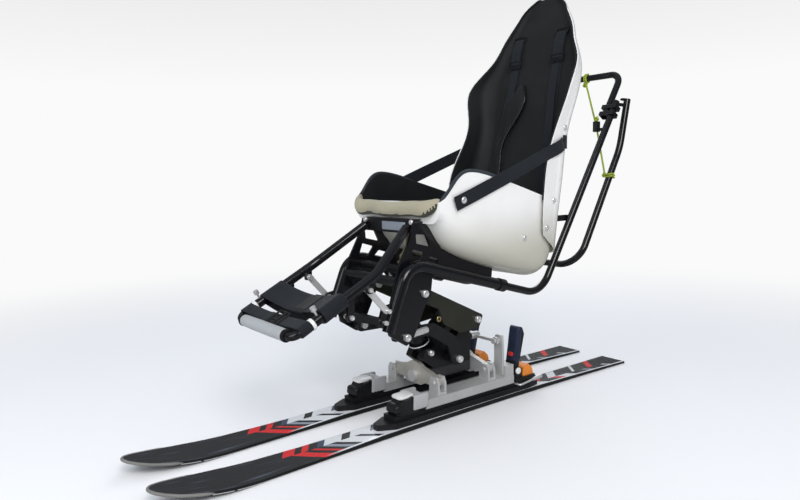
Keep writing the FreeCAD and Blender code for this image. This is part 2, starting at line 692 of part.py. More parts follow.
def make_arm(y):
    """Arched cross arm: an eye over each ski and a round crown about the lean axis."""
    shoulder = ARM_CROWN * math.sin(math.radians(45))
    hip = shoulder * ARM_HIP_SHARE
    top = LEAN_Z + ARM_END_R
    under = LEAN_Z - ARM_END_R
    sole = LEAN_Z - ARM_CROWN * ARM_SOLE_SHARE
    low = y - ARM_THICK / 2
    high = y + ARM_THICK / 2

    def at(x, z):
        return vec(x, low, z)

    def line(a, b):
        return Part.LineSegment(at(*a), at(*b)).toShape()

    def arc(a, m, b):
        return Part.Arc(at(*a), at(*m), at(*b)).toShape()

    left = (-shoulder, LEAN_Z + shoulder)
    right = (shoulder, LEAN_Z + shoulder)
    edges = [
        line((-SKI_X, top), left), arc(left, (0, LEAN_Z + ARM_CROWN), right), line(right, (SKI_X, top)),
        arc((SKI_X, top), (SKI_X + ARM_END_R, LEAN_Z), (SKI_X, under)),
        line((SKI_X, under), (hip, under)), line((hip, under), (shoulder, sole)),
        line((shoulder, sole), (-shoulder, sole)), line((-shoulder, sole), (-hip, under)),
        line((-hip, under), (-SKI_X, under)),
        arc((-SKI_X, under), (-SKI_X - ARM_END_R, LEAN_Z), (-SKI_X, top)),
    ]
    arm = Part.Face(Part.Wire(edges)).extrude(vec(0, high - low, 0))
    arm = arm.cut(y_rod(0, low - OVERCUT, high + OVERCUT, LEAN_Z, SHAFT_R + RUN_GAP))
    for x in (-SKI_X, SKI_X):
        arm = arm.cut(y_rod(x, low - OVERCUT, high + OVERCUT, LEAN_Z, PIVOT_PIN_R + RUN_GAP))
    return arm


def make_lean_shaft():
    front = FRONT_ARM_Y - ARM_THICK / 2
    rear = REAR_ARM_Y + ARM_THICK / 2
    shaft = y_rod(0, front - SHAFT_NUT_LENGTH, rear + SHAFT_NUT_LENGTH, LEAN_Z, SHAFT_R)
    front_nut = y_rod(0, front - SHAFT_NUT_LENGTH, front, LEAN_Z, SHAFT_NUT_R)
    rear_nut = y_rod(0, rear, rear + SHAFT_NUT_LENGTH, LEAN_Z, SHAFT_NUT_R)
    return shaft.multiFuse([front_nut, rear_nut])


def make_pivot_housing():
    front = FRONT_ARM_Y + ARM_THICK / 2 + SEAT_GAP
    rear = REAR_ARM_Y - ARM_THICK / 2 - SEAT_GAP
    body = plate("y", [
        (-HOUSING_HALF, HOUSING_BOTTOM), (HOUSING_HALF, HOUSING_BOTTOM),
        (HOUSING_HALF, HOUSING_TOP), (-HOUSING_HALF, HOUSING_TOP),
    ], front, rear, 4.0)
    return body.cut(y_rod(0, front - 1, rear + 1, LEAN_Z, SHAFT_R + RUN_GAP))


UPPER_REAR = vec(0, UPPER_REAR_Y, UPPER_REAR_Z)
LOWER_REAR = UPPER_REAR - vec(0, PIVOT_STEP_Y, PIVOT_STEP_Z)
LINK = vec(0, -LINK_DY, LINK_DZ)
UPPER_FRONT = UPPER_REAR + LINK
LOWER_FRONT = LOWER_REAR + LINK
PLATE_OUT = TUBE_X - MAIN_R - SEAT_GAP
PLATE_IN = PLATE_OUT - PLATE_THICK


def link_pivots():
    return (UPPER_REAR, UPPER_CHEEK_X), (LOWER_REAR, LOWER_CHEEK_X)


def make_column():
    """Block column with two cheeks in front for the shock and cross bosses for the links."""
    out = COLUMN_HALF + OVERCUT
    column = plate("x", COLUMN_SIDE, -COLUMN_HALF, COLUMN_HALF, 5.0)
    column = column.cut(plate("x", COLUMN_SLOT, -CHEEK_GAP, CHEEK_GAP))
    hollow = plate("x", COLUMN_WINDOW, -out, out, 5.0)
    column = column.cut(hollow.cut(x_rod(-out, out, LOWER_REAR.y, LOWER_REAR.z, COLUMN_WEB_R)))
    for pivot, cheek_x in link_pivots():
        reach = cheek_x - SEAT_GAP
        column = column.fuse(x_rod(-reach, reach, pivot.y, pivot.z, COLUMN_BOSS_R))
    for pivot, cheek_x in link_pivots():
        column = column.cut(x_rod(-cheek_x, cheek_x, pivot.y, pivot.z, LINK_BOLT_R + RUN_GAP))
    boss_end = TIE_Y - TIE_EYE_THICK * 1.5 - OVERCUT
    column = column.fuse(y_rod(0, TIE_BOSS_Y, boss_end, TIE_Z, TIE_BOSS_R))
    column = column.cut(y_rod(0, TIE_BORE_Y, TIE_Y, TIE_Z, STUD_R + RUN_GAP))
    return column.cut(x_rod(-out, out, SHOCK_LOW_Y, SHOCK_LOW_Z, SHOCK_BOLT_R + RUN_GAP))


def through_bolt(reach, y, z, radius):
    """Bolt across the centre plane with a head at one end and a nut at the other."""
    shank = x_rod(-reach, reach, y, z, radius)
    head = x_rod(reach, reach + BOLT_HEAD, y, z, BOLT_HEAD_R * radius / LINK_BOLT_R)
    return shank.multiFuse([head, mirrored(head)])


def make_column_bolts():
    bolts = [through_bolt(cheek_x + CHEEK_THICK + SEAT_GAP, pivot.y, pivot.z, LINK_BOLT_R)
             for pivot, cheek_x in link_pivots()]
    bolts.append(through_bolt(COLUMN_HALF + SEAT_GAP, SHOCK_LOW_Y, SHOCK_LOW_Z, SHOCK_BOLT_R))
    end = TIE_Y + TIE_EYE_THICK * 1.5
    stud = y_rod(0, TIE_BORE_Y + OVERCUT, end + COLLAR_NUT, TIE_Z, STUD_R)
    nut = y_rod(0, end + SEAT_GAP, end + COLLAR_NUT, TIE_Z, STUD_R + STUD_NUT_WALL)
    return bolts + [stud.fuse(nut)]


def make_tie_rods():
    """One rod has a single inner eye and the other a fork round it, on one stud."""
    half = TIE_EYE_THICK / 2
    outer_half = half - TIE_EYE_SLACK
    fork_z = (TIE_Z - FORK_HALF, TIE_Z + FORK_HALF)
    inner = {
        "left": [(TIE_Y - half, TIE_Y + half)],
        "right": [(TIE_Y - 3 * half, TIE_Y - half - SEAT_GAP), (TIE_Y + half + SEAT_GAP, TIE_Y + 3 * half)],
    }
    for side, sign in SIDES:
        start = TIE_EYE_R - TIE_SHANK_IN if side == "left" else TIE_EYE_R + FORK_REACH - FORK_ROOT
        end = SKI_X - TIE_EYE_R + TIE_SHANK_IN
        shank = rod(vec(start, TIE_Y, TIE_Z), vec(end, TIE_Y, TIE_Z), TIE_ROD_R)
        eye = y_rod(SKI_X, TIE_Y - outer_half, TIE_Y + outer_half, TIE_Z, TIE_EYE_R)
        pieces = [eye]
        for low, high in inner[side]:
            pieces.append(y_rod(0, low, high, TIE_Z, TIE_EYE_R))
            if side == "right":
                pieces.append(box((0, TIE_EYE_R + FORK_REACH), (low, high), fork_z))
        if side == "right":
            root = (TIE_EYE_R + FORK_ROOT, TIE_EYE_R + FORK_REACH)
            pieces.append(box(root, (TIE_Y - 3 * half, TIE_Y + 3 * half), fork_z))
        shape = shank.multiFuse(pieces)
        for x in (0, SKI_X):
            shape = shape.cut(y_rod(x, TIE_Y - 4 * half, TIE_Y + 4 * half, TIE_Z, STUD_R + RUN_GAP))
        keep(side + "_tie_rod", shape if sign > 0 else mirrored(shape))


def along_link(pivot, s, n):
    """Point in the side view at s along the link from its rear pivot and n above its line."""
    length = math.hypot(LINK_DY, LINK_DZ)
    run = -LINK_DY / length
    rise = LINK_DZ / length
    return pivot.y + s * run + n * rise, pivot.z + s * rise - n * run


def make_upper_link():
    """Box link: two deep cheeks, a top web between them and a boss at each front pivot."""
    length = math.hypot(LINK_DY, LINK_DZ)
    end = length + UPPER_CHEEK_END
    front = [(end, UPPER_CHEEK_END), (end, -UPPER_CHEEK_END)]
    shape = [*UPPER_CHEEK_REAR, *front, *UPPER_CHEEK_DEPTH]
    points = [along_link(UPPER_REAR, s, n) for s, n in shape]
    cheek = plate("x", points, UPPER_CHEEK_X, UPPER_CHEEK_X + CHEEK_THICK, 9.0)
    root = UPPER_CHEEK_X + CHEEK_THICK - WELD
    boss = x_rod(root, PLATE_IN - SEAT_GAP, UPPER_FRONT.y, UPPER_FRONT.z, LINK_BOSS_R)
    half = UPPER_CHEEK_X + WELD
    web = plate("x", [along_link(UPPER_REAR, s, n) for s, n in UPPER_WEB], -half, half)
    link = web.multiFuse([cheek, boss, mirrored(cheek), mirrored(boss)])
    for pivot in (UPPER_REAR, UPPER_FRONT):
        link = link.cut(x_rod(-PLATE_IN, PLATE_IN, pivot.y, pivot.z, LINK_BOLT_R + RUN_GAP))
    return link


def make_lower_link():
    """Boomerang cheeks over the skis, joined by a cross tube in front."""
    points = []
    for pivot, offsets in (
        (LOWER_REAR, LOWER_CHEEK_REAR), (LOWER_FRONT, LOWER_CHEEK_FRONT), (LOWER_REAR, LOWER_CHEEK_INNER),
    ):
        points += [(pivot.y + dy, pivot.z + dz) for dy, dz in offsets]
    cheek = plate("x", points, LOWER_CHEEK_X, LOWER_CHEEK_X + CHEEK_THICK, 10.0)
    root = LOWER_CHEEK_X + CHEEK_THICK - WELD
    boss = x_rod(root, PLATE_IN - SEAT_GAP, LOWER_FRONT.y, LOWER_FRONT.z, LINK_BOSS_R)
    half = LOWER_CHEEK_X + WELD
    back_off, radius = LOWER_CROSS
    cross = x_rod(-half, half, LOWER_FRONT.y + back_off, LOWER_FRONT.z, radius)
    link = cross.multiFuse([cheek, boss, mirrored(cheek), mirrored(boss)])
    for pivot in (LOWER_REAR, LOWER_FRONT):
        link = link.cut(x_rod(-PLATE_IN, PLATE_IN, pivot.y, pivot.z, LINK_BOLT_R + RUN_GAP))
    return link


def make_shock():
    """Air can on the column and its shaft on the frame, on one line at rest."""
    low = vec(0, SHOCK_LOW_Y, SHOCK_LOW_Z)
    top = vec(0, SHOCK_TOP_Y, SHOCK_TOP_Z)

    def up(distance):
        return point_along(low, top, distance)

    def down(distance):
        return point_along(top, low, distance)

    out = SHOCK_EYE_HALF + OVERCUT
    eye = x_rod(-SHOCK_EYE_HALF, SHOCK_EYE_HALF, low.y, low.z, SHOCK_EYE_R)
    neck = rod(up(SHOCK_NECK), up(SHOCK_FLANGE_AT), SHOCK_NECK_R)
    flange = rod(up(SHOCK_FLANGE_AT), up(SHOCK_FLANGE_AT + SHOCK_FLANGE_THICK), SHOCK_FLANGE_R)
    can = rod(up(SHOCK_FLANGE_AT + SHOCK_FLANGE_THICK - WELD), up(SHOCK_CAN_TOP), SHOCK_CAN_R)
    body = eye.multiFuse([neck, flange, can])
    body = body.cut(rod(up(SHOCK_BORE_FLOOR), up(SHOCK_CAN_TOP + OVERCUT), SHOCK_BORE_R))
    body = body.cut(x_rod(-out, out, low.y, low.z, SHOCK_BOLT_R + RUN_GAP))
    keep("shock_body", body)
    top_eye = x_rod(-SHOCK_EYE_HALF, SHOCK_EYE_HALF, top.y, top.z, SHOCK_EYE_R)
    collar_low, collar_high = SHOCK_COLLAR
    top_neck = rod(down(SHOCK_NECK), down(collar_low + WELD), SHOCK_NECK_R)
    collar = rod(down(collar_low), down(collar_high), SHOCK_COLLAR_R)
    shaft = rod(down(collar_high - WELD), down(SHOCK_ROD_LENGTH), SHOCK_ROD_R)
    bore = x_rod(-out, out, top.y, top.z, SHOCK_BOLT_R + RUN_GAP)
    keep("shock_rod", top_eye.multiFuse([top_neck, collar, shaft]).cut(bore))


def make_lean():
    keep("front_arm", make_arm(FRONT_ARM_Y))
    keep("rear_arm", make_arm(REAR_ARM_Y))
    keep("lean_shaft", make_lean_shaft())
    keep("pivot_housing", make_pivot_housing())
    keep("column", make_column())
    keep("column_bolts", *make_column_bolts())
    make_tie_rods()
    keep("upper_link", make_upper_link())
    keep("lower_link", make_lower_link())
    make_shock()


# Seat shells

def bucket_section(station, inset, over):
    """U section of the bucket at one station, closed across or over the rim."""
    y, floor, rim, rim_half, floor_half = station
    floor = floor + inset
    rim_half = rim_half - inset
    floor_half = floor_half - inset * 0.4
    rise = min(78.0, (rim - floor) * 0.55)
    bend_half = rim_half - (rim - floor) * 0.03
    mid_x = floor_half + (bend_half - floor_half) * 0.72
    mid_z = floor + rise * 0.28
    top = rim + over
    top_half = rim_half + (rim_half - bend_half) * over / (rim - floor - rise)

    def at(x, z):
        return vec(x, y, z)

    return Part.Wire([
        Part.LineSegment(at(-top_half, top), at(-bend_half, floor + rise)).toShape(),
        Part.Arc(at(-bend_half, floor + rise), at(-mid_x, mid_z), at(-floor_half, floor)).toShape(),
        Part.LineSegment(at(-floor_half, floor), at(floor_half, floor)).toShape(),
        Part.Arc(at(floor_half, floor), at(mid_x, mid_z), at(bend_half, floor + rise)).toShape(),
        Part.LineSegment(at(bend_half, floor + rise), at(top_half, top)).toShape(),
        Part.LineSegment(at(top_half, top), at(-top_half, top)).toShape(),
    ])


def bucket_solid(inset, over):
    """Solid inside the bucket's skin, set in by a wall on its sides, floor and ends."""
    solid = Part.makeLoft([bucket_section(s, inset, over) for s in BUCKET], True, False)
    wide = (-SEAT_REACH, SEAT_REACH)
    return solid.common(box(wide, (BUCKET[0][0] + inset, BUCKET[-1][0] - inset), (0, SEAT_REACH * 4)))


def back_path(station, inset, reach):
    """Edges of the back's U section at one height, from the right front edge to the left one."""
    z, front, rear, front_half, rear_half = station
    rear = rear - inset
    front_half = front_half - inset
    rear_half = rear_half - inset * 0.5
    depth = rear - front
    side_half = front_half - (front_half - rear_half) * 0.12
    mid_x = rear_half + (side_half - rear_half) * 0.72
    mid_y = rear - depth * 0.17
    bend = front + depth * 0.45

    def at(x, y):
        return vec(x, y, z)

    return [
        Part.LineSegment(at(-front_half, front - reach), at(-side_half, bend)).toShape(),
        Part.Arc(at(-side_half, bend), at(-mid_x, mid_y), at(-rear_half, rear)).toShape(),
        Part.LineSegment(at(-rear_half, rear), at(rear_half, rear)).toShape(),
        Part.Arc(at(rear_half, rear), at(mid_x, mid_y), at(side_half, bend)).toShape(),
        Part.LineSegment(at(side_half, bend), at(front_half, front - reach)).toShape(),
    ]


def back_solid(inset, reach):
    """Solid inside the back's skin, closed across or ahead of its front edge."""
    sections = []
    for station in BACK:
        edges = back_path(station, inset, reach)
        closing = Part.LineSegment(edges[-1].Vertexes[-1].Point, edges[0].Vertexes[0].Point)
        sections.append(Part.Wire(edges + [closing.toShape()]))
    solid = Part.makeLoft(sections, True, False)
    wide = (-SEAT_REACH, SEAT_REACH)
    return solid.common(box(wide, (0, SEAT_REACH * 3), (0, BACK[-1][0] - inset)))


def back_ring(outer, inner):
    """Sheet between two insets from the back's skin, open in front."""
    sections = []
    for station in BACK:
        out = back_path(station, outer, 0)
        into = back_path(station, inner, 0)
        right = Part.LineSegment(into[0].Vertexes[0].Point, out[0].Vertexes[0].Point)
        left = Part.LineSegment(out[-1].Vertexes[-1].Point, into[-1].Vertexes[-1].Point)
        sections.append(Part.Wire(Part.__sortEdges__(out + [left.toShape()] + into + [right.toShape()])))
    return Part.makeLoft(sections, True, False)


STRAP_BOLT = (-19.0, 605.0)
STRAP_WIDTH = 38.0
# Side strap: x, y, z of its middle line from the front end to the slot in the back
STRAP_LINE = (
    (197.4, -44.0, 595.9), (199.4, -19.0, 605.0), (202.0, 60.0, 633.8), (202.2, 200.0, 684.8),
    (197.6, 336.0, 734.4), (181.0, 404.0, 759.0),
)
STRAP_SLOT_Y = (400.0, 424.0)
STRAP_SLOT_Z = (738.0, 782.0)
# Front roll: x, y, z of its middle, half height and half depth
LIP_STATIONS = (
    (-190.0, -68.0, 614.0, 10.0, 9.0), (-174.0, -90.0, 597.0, 20.0, 13.0),
    (-110.0, -104.0, 586.0, 24.0, 15.0), (0.0, -110.0, 583.0, 24.0, 16.0),
    (110.0, -104.0, 586.0, 24.0, 15.0), (174.0, -90.0, 597.0, 20.0, 13.0),
    (190.0, -68.0, 614.0, 10.0, 9.0),
)
SHELL_BOLT_R = 3.0
SHELL_HEAD_R = 7.0
SHELL_HEAD = 3.5
LAP_BOLTS = ((338.0, 592.0), (306.0, 514.0))
BUCKET_BOLT = (222.0, 490.0)
BACK_BOLT = (406.0, 804.0)
HARNESS_X = 92.0
HARNESS_Z = (618.0, 1052.0)
LINER_FOOT = 610.0


def make_lip():
    """Padded roll over the front edge, drawn up and back at both ends."""
    rows = []
    for x, y, z, height, depth in LIP_STATIONS:
        diagonal = math.sin(math.radians(45))

        def at(dy, dz):
            return vec(x, y + dy * depth, z + dz * height)

        turns = ((-1, 0), (0, 1), (1, 0), (0, -1), (-1, 0))
        edges = []
        for (ay, az), (by, bz) in zip(turns, turns[1:]):
            middle = at((ay + by) * diagonal, (az + bz) * diagonal)
            edges.append(Part.Arc(at(ay, az), middle, at(by, bz)).toShape())
        rows.append(Part.Wire(edges))
    return Part.makeLoft(rows, True, False)


def make_side_strap():
    """Flat webbing through a few stations, each a thin upright rectangle."""
    half_thick = STRAP_THICK / 2
    slope = math.hypot(STRAP_LINE[-1][1] - STRAP_LINE[0][1], STRAP_LINE[-1][2] - STRAP_LINE[0][2])
    up_y = -(STRAP_LINE[-1][2] - STRAP_LINE[0][2]) / slope * STRAP_WIDTH / 2
    up_z = (STRAP_LINE[-1][1] - STRAP_LINE[0][1]) / slope * STRAP_WIDTH / 2
    rows = []
    for x, y, z in STRAP_LINE:
        rows.append(Part.makePolygon([
            vec(x - half_thick, y - up_y, z - up_z), vec(x + half_thick, y - up_y, z - up_z),
            vec(x + half_thick, y + up_y, z + up_z), vec(x - half_thick, y + up_y, z + up_z),
            vec(x - half_thick, y - up_y, z - up_z),
        ]))
    return Part.makeLoft(rows, True, True)


def skin_x(solid, y, z):
    """Where a bolt along X leaves a solid on the left side, from the length it has left outside."""
    beyond = outermost(x_rod(TUBE_X, SEAT_REACH, y, z, SHELL_BOLT_R).cut(solid))
    return SEAT_REACH - beyond.Volume / (math.pi * SHELL_BOLT_R ** 2)


def outermost(shape):
    return max(shape.Solids, key=lambda s: s.CenterOfMass.x)


def make_shell_bolts(bucket_outer, bucket_inner, back_outer, back_inner, back_shell, strap):
    """Bolts with low heads: two lap bolts, one in each shell and one on the strap's front end."""
    bolts = []
    holes = []
    stacks = [(y, z, back_outer, bucket_inner, 0.0) for y, z in LAP_BOLTS]
    stacks.append((*BUCKET_BOLT, bucket_outer, bucket_inner, 0.0))
    stacks.append((*BACK_BOLT, back_outer, back_inner, 0.0))
    stacks.append((*STRAP_BOLT, bucket_outer, bucket_inner, STRAP_THICK + LINER_GAP * 4))
    for y, z, outer, inner, lift in stacks:
        top = skin_x(outer, y, z) + lift + SHELL_HEAD
        head = outermost(x_rod(TUBE_X, top, y, z, SHELL_HEAD_R).cut(outer).cut(back_shell))
        if lift:
            head = outermost(head.cut(strap))
        shank = outermost(x_rod(TUBE_X, top - WELD, y, z, SHELL_BOLT_R).cut(inner))
        bolts.append(head.fuse(shank))
        holes.append(x_rod(TUBE_X, top + OVERCUT, y, z, SHELL_BOLT_R + RUN_GAP))
    return bolts, holes[0].multiFuse(holes[1:])


def make_seat():
    """Two shells with their liners, the front roll, the straps and the bolts that join them."""
    liner_out = SHELL_THICK + LINER_GAP
    liner_in = liner_out + LINER_THICK
    bucket_outer = bucket_solid(0, 0)
    bucket_inner = bucket_solid(SHELL_THICK, RIM_OVER)
    bucket_liner = bucket_solid(liner_out, 0).cut(bucket_solid(liner_in, RIM_OVER))
    chamfer = plate("x", BACK_CHAMFER, -SEAT_REACH, SEAT_REACH)
    back_outer = back_solid(0, 0).cut(chamfer)
    back_shell = back_ring(0, SHELL_THICK).cut(chamfer)
    back_inner = back_solid(SHELL_THICK, FRONT_OVER)
    wide = (-SEAT_REACH, SEAT_REACH)
    liner_box = box(wide, (0, SEAT_REACH * 2), (LINER_FOOT, BACK[-1][0] - liner_out))
    back_liner = back_ring(liner_out, liner_in).common(liner_box)
    strap = make_side_strap()
    bolts, holes = make_shell_bolts(
        bucket_outer, bucket_inner, back_outer, back_inner, back_shell, strap)
    bolts = [outermost(bolt.cut(bucket_liner)) for bolt in bolts]
    holes = holes.fuse(mirrored(holes))
    slot = box((TUBE_X, SEAT_REACH), STRAP_SLOT_Y, STRAP_SLOT_Z)
    half = STRAP_WIDTH / 2
    lay = liner_in + SEAT_GAP
    harness = back_ring(lay, lay + STRAP_THICK).common(
        box((HARNESS_X - half, HARNESS_X + half), (0, SEAT_REACH * 2), HARNESS_Z))
    keep("seat_bucket", bucket_outer.cut(bucket_inner).cut(holes))
    keep("seat_back", back_shell.cut(holes).cut(slot).cut(mirrored(slot)))
    keep("seat_liner", bucket_liner, back_liner)
    keep("front_lip", make_lip().cut(bucket_outer))
    keep("shell_bolts", *[s for bolt in bolts for s in both(bolt)])
    keep("side_straps", *both(strap.cut(back_outer).cut(holes)))
    keep("harness", *both(harness))
    return bucket_outer, back_outer


# Seat frame

MAIN_SLOPE = (MAIN_REAR[1] - MAIN_CORNER[1]) / (MAIN_REAR[0] - MAIN_CORNER[0])
REAR_CORNER = (REAR_CORNER_Y, MAIN_REAR[1] + MAIN_SLOPE * (REAR_CORNER_Y - MAIN_REAR[0]))
HANDLE_X = TUBE_X - 2 * REAR_R - 0.5


def on_main(y):
    """Height of the main tube's middle line behind its bend."""
    return MAIN_REAR[1] + MAIN_SLOPE * (y - MAIN_REAR[0])


def leg_lean(z):
    """Where the middle line of the main tube's front leg is at one height."""
    share = (z - MAIN_FOOT[1]) / (MAIN_CORNER[1] - MAIN_FOOT[1])
    return MAIN_FOOT[0] + (MAIN_CORNER[0] - MAIN_FOOT[0]) * share


def rear_axis(z):
    """Where the rear tube's straight leg is at one height."""
    share = (z - REAR_CORNER[1]) / (REAR_TOP[1] - REAR_CORNER[1])
    return REAR_CORNER[0] + (REAR_TOP[0] - REAR_CORNER[0]) * share


def stay_bolt_hole(y, z):
    return x_rod(TUBE_X - MAIN_R, LEG_X + MAIN_R, y, z, STAY_BOLT_R + RUN_GAP)


def make_main_tube():
    """Bent front tube with the reducing collar at its rear end and the lug for the footrest stays."""
    points = [vec(TUBE_X, *MAIN_FOOT), vec(TUBE_X, *MAIN_CORNER), vec(TUBE_X, *MAIN_REAR)]
    radii = [0, MAIN_BEND, 0]
    bar = sweep(points, radii, MAIN_R)
    lug_x = STAY_X - STAY_THICK / 2 - SEAT_GAP
    lug = plate("x", MAIN_LUG, lug_x - LUG_THICK, lug_x, 4.0)
    for y, z in (STAY_LOW, BAR_LOW):
        lug = lug.cut(stay_bolt_hole(y, z))
    body = bar.fuse(lug).cut(sweep(points, radii, MAIN_R - MAIN_WALL))
    start = point_along(points[2], points[1], COLLAR_LENGTH)
    collar = rod(start, point_along(points[2], points[1], -COLLAR_LIP), COLLAR_R)
    ahead = point_along(points[2], points[1], -COLLAR_BORE)
    inside = rod(point_along(points[2], points[1], COLLAR_LENGTH + OVERCUT * 2), ahead, REAR_R + RUN_GAP)
    return body.fuse(collar).cut(inside)


def rear_route():
    return [
        vec(TUBE_X, REAR_START_Y, on_main(REAR_START_Y)), vec(TUBE_X, *REAR_CORNER), vec(TUBE_X, *REAR_TOP),
    ]


def loop_route():
    return [
        vec(TUBE_X, *LOOP_TOP), vec(TUBE_X, *LOOP_KNEE), vec(TUBE_X, *LOOP_FOOT),
        vec(-TUBE_X, *LOOP_FOOT), vec(-TUBE_X, *LOOP_KNEE), vec(-TUBE_X, *LOOP_TOP),
    ]


def handle_route():
    top = vec(0, *REAR_TOP)
    foot = vec(0, *REAR_CORNER)
    share = (HANDLE_Z - REAR_TOP[1]) / (top - foot).normalize().z
    bar = point_along(top, foot, -share)
    end = point_along(bar, foot, HANDLE_DOWN)
    return [
        vec(HANDLE_X, end.y, end.z), vec(HANDLE_X, bar.y, bar.z),
        vec(-HANDLE_X, bar.y, bar.z), vec(-HANDLE_X, end.y, end.z),
    ]


def make_side_plate(bucket_outer):
    """Cut truss plate: it carries the seat, the crossbar and both link pivots inside the main tube."""
    shape = plate("x", SIDE_PLATE, PLATE_IN, PLATE_OUT, 5.0, SIDE_WINDOWS)
    for pivot in (UPPER_FRONT, LOWER_FRONT):
        shape = shape.cut(x_rod(0, TUBE_X, pivot.y, pivot.z, LINK_BOLT_R + RUN_GAP))
    return shape.cut(bucket_outer)


def make_crossbars(bucket_outer):
    """Front channel under the seat's edge and the round tubes between the side plates."""
    wall = CROSSBAR_WALL
    front, rear = CROSSBAR_Y
    low, high = CROSSBAR_Z
    out = PLATE_IN + OVERCUT
    channel = box((-PLATE_IN, PLATE_IN), CROSSBAR_Y, CROSSBAR_Z).cut(box(
        (-out, out), (front + wall, rear + OVERCUT), (low + wall, high - wall)))
    for x in (-CROSSBAR_BOLT_X, CROSSBAR_BOLT_X):
        channel = channel.cut(y_rod(
            x, front - OVERCUT, front + wall + OVERCUT, CROSSBAR_BOLT_Z, SHELL_BOLT_R + RUN_GAP))
    channel = channel.cut(bucket_outer)
    shock_tube = x_rod(-PLATE_IN, PLATE_IN, *SHOCK_TUBE, SHOCK_TUBE_R)
    tab_in = SHOCK_EYE_HALF + SEAT_GAP
    tab = plate("x", SHOCK_TAB, tab_in, tab_in + SHOCK_TAB_THICK, 4.0)
    tab = tab.cut(x_rod(0, COLUMN_HALF, SHOCK_TOP_Y, SHOCK_TOP_Z, SHOCK_BOLT_R + RUN_GAP))
    tubes = [x_rod(-PLATE_IN, PLATE_IN, y, z, radius) for y, z, radius in CROSS_TUBES]
    return [channel, shock_tube.multiFuse(list(both(tab)))] + tubes


def make_latch():
    """Zinc plate under the crossbar with the pin and hook that hold the seat up for loading."""
    low, high, y, z = LATCH_PIN
    hang = plate("x", LATCH_PLATE, *LATCH_X, 3.0)
    return hang.multiFuse([x_rod(low, high, y, z, LATCH_PIN_R), plate("x", LATCH_HOOK, *HOOK_X, 3.0)])


def make_frame_bolts():
    """Pivot bolts of both links, the crossbar's bolts, the stay bolts and the thumb screws."""
    solids = []
    for pivot, cheek_x in ((UPPER_FRONT, UPPER_CHEEK_X), (LOWER_FRONT, LOWER_CHEEK_X)):
        inner = cheek_x - LINK_NUT
        shank = x_rod(inner, PLATE_OUT + BOLT_HEAD, pivot.y, pivot.z, LINK_BOLT_R)
        head = x_rod(PLATE_OUT, PLATE_OUT + BOLT_HEAD, pivot.y, pivot.z, BOLT_HEAD_R)
        nut = x_rod(inner, cheek_x - SEAT_GAP, pivot.y, pivot.z, BOLT_HEAD_R - 1)
        solids += both(shank.multiFuse([head, nut]))
    front = CROSSBAR_Y[0]
    head = y_rod(CROSSBAR_BOLT_X, front - SHELL_HEAD, front, CROSSBAR_BOLT_Z, STAY_HEAD_R)
    shank = y_rod(CROSSBAR_BOLT_X, front, front + CROSSBAR_WALL * 3, CROSSBAR_BOLT_Z, SHELL_BOLT_R)
    solids += both(head.fuse(shank))
    reach = SHOCK_EYE_HALF + SEAT_GAP + SHOCK_TAB_THICK
    solids.append(through_bolt(reach, SHOCK_TOP_Y, SHOCK_TOP_Z, SHOCK_BOLT_R))
    half = STAY_THICK / 2 + SEAT_GAP + LUG_THICK + STAY_HEAD
    for y, z in (STAY_UP, STAY_LOW, BAR_UP, BAR_LOW):
        low = STAY_X - half
        high = STAY_X + half
        pin = x_rod(low, high, y, z, STAY_BOLT_R)
        ends = [
            x_rod(low, low + STAY_HEAD, y, z, STAY_HEAD_R), x_rod(high - STAY_HEAD, high, y, z, STAY_HEAD_R),
        ]
        solids += both(pin.multiFuse(ends))
    screw_y = LEG_END_Y + SCREW_BACK
    foot = vec(LEG_X, screw_y, leg_z(screw_y)) + leg_normal() * LEG_R
    screw = [
        rod(foot + leg_normal() * low, foot + leg_normal() * high, radius)
        for low, high, radius in (SCREW_SHANK, SCREW_WING)
    ]
    solids += both(screw[0].fuse(screw[1]))
    return solids


def make_rear_brackets(back_outer):
    """Handle clamps, the short bars up to the loop's top and the stubs to the back shell."""
    route = rear_route()
    foot, top = route[1], route[2]
    along = (top - foot).normalize()
    across = vec(0, along.z, -along.y)
    tube_solid = sweep(route, [0, REAR_BEND, 0], REAR_R)
    loop_solid = sweep(loop_route(), LOOP_RADII, REAR_R)
    solids = []
    for back_off in CLAMPS_AT:
        centre = top - along * back_off
        corners = []
        for a, c in ((-1, -1), (1, -1), (1, 1), (-1, 1)):
            p = centre + along * (a * CLAMP_LENGTH / 2) + across * (c * CLAMP_HALF)
            corners.append((p.y, p.z))
        clamp = plate("x", corners, HANDLE_X - CLAMP_HALF, TUBE_X + CLAMP_HALF, 2.0)
        for x in (HANDLE_X, TUBE_X):
            middle = vec(x, centre.y, centre.z)
            clamp = clamp.cut(rod(
                middle - along * CLAMP_LENGTH, middle + along * CLAMP_LENGTH, REAR_R + RUN_GAP))
        solids += both(clamp)
    bar = box(LINK_BAR_X, LINK_BAR_Y, LINK_BAR_Z)
    bar = bar.cut(tube_solid).cut(loop_solid)
    solids += both(max(bar.Solids, key=lambda s: s.Volume))
    stub = box(STUB_X, (STUB_Y, rear_axis(sum(STUB_Z) / 2)), STUB_Z)
    stub = stub.cut(tube_solid).cut(back_outer)
    solids += both(max(stub.Solids, key=lambda s: s.Volume))
    return solids


def make_cleat():
    """Jam cleat on an arm from the main tube, bored for the rope."""
    x, y, z = ROPE_LINE[1]
    dx, dy, dz = CLEAT_HALF
    body = box((x - dx, x + dx), (y - dy, y + dy), (z - dz, z + dz))
    arm_z = z - CLEAT_ARM_DOWN
    arm = rod(vec(x, y, arm_z), vec(TUBE_X, rear_axis(arm_z), arm_z), CLEAT_ARM_R)
    return body.fuse(arm)


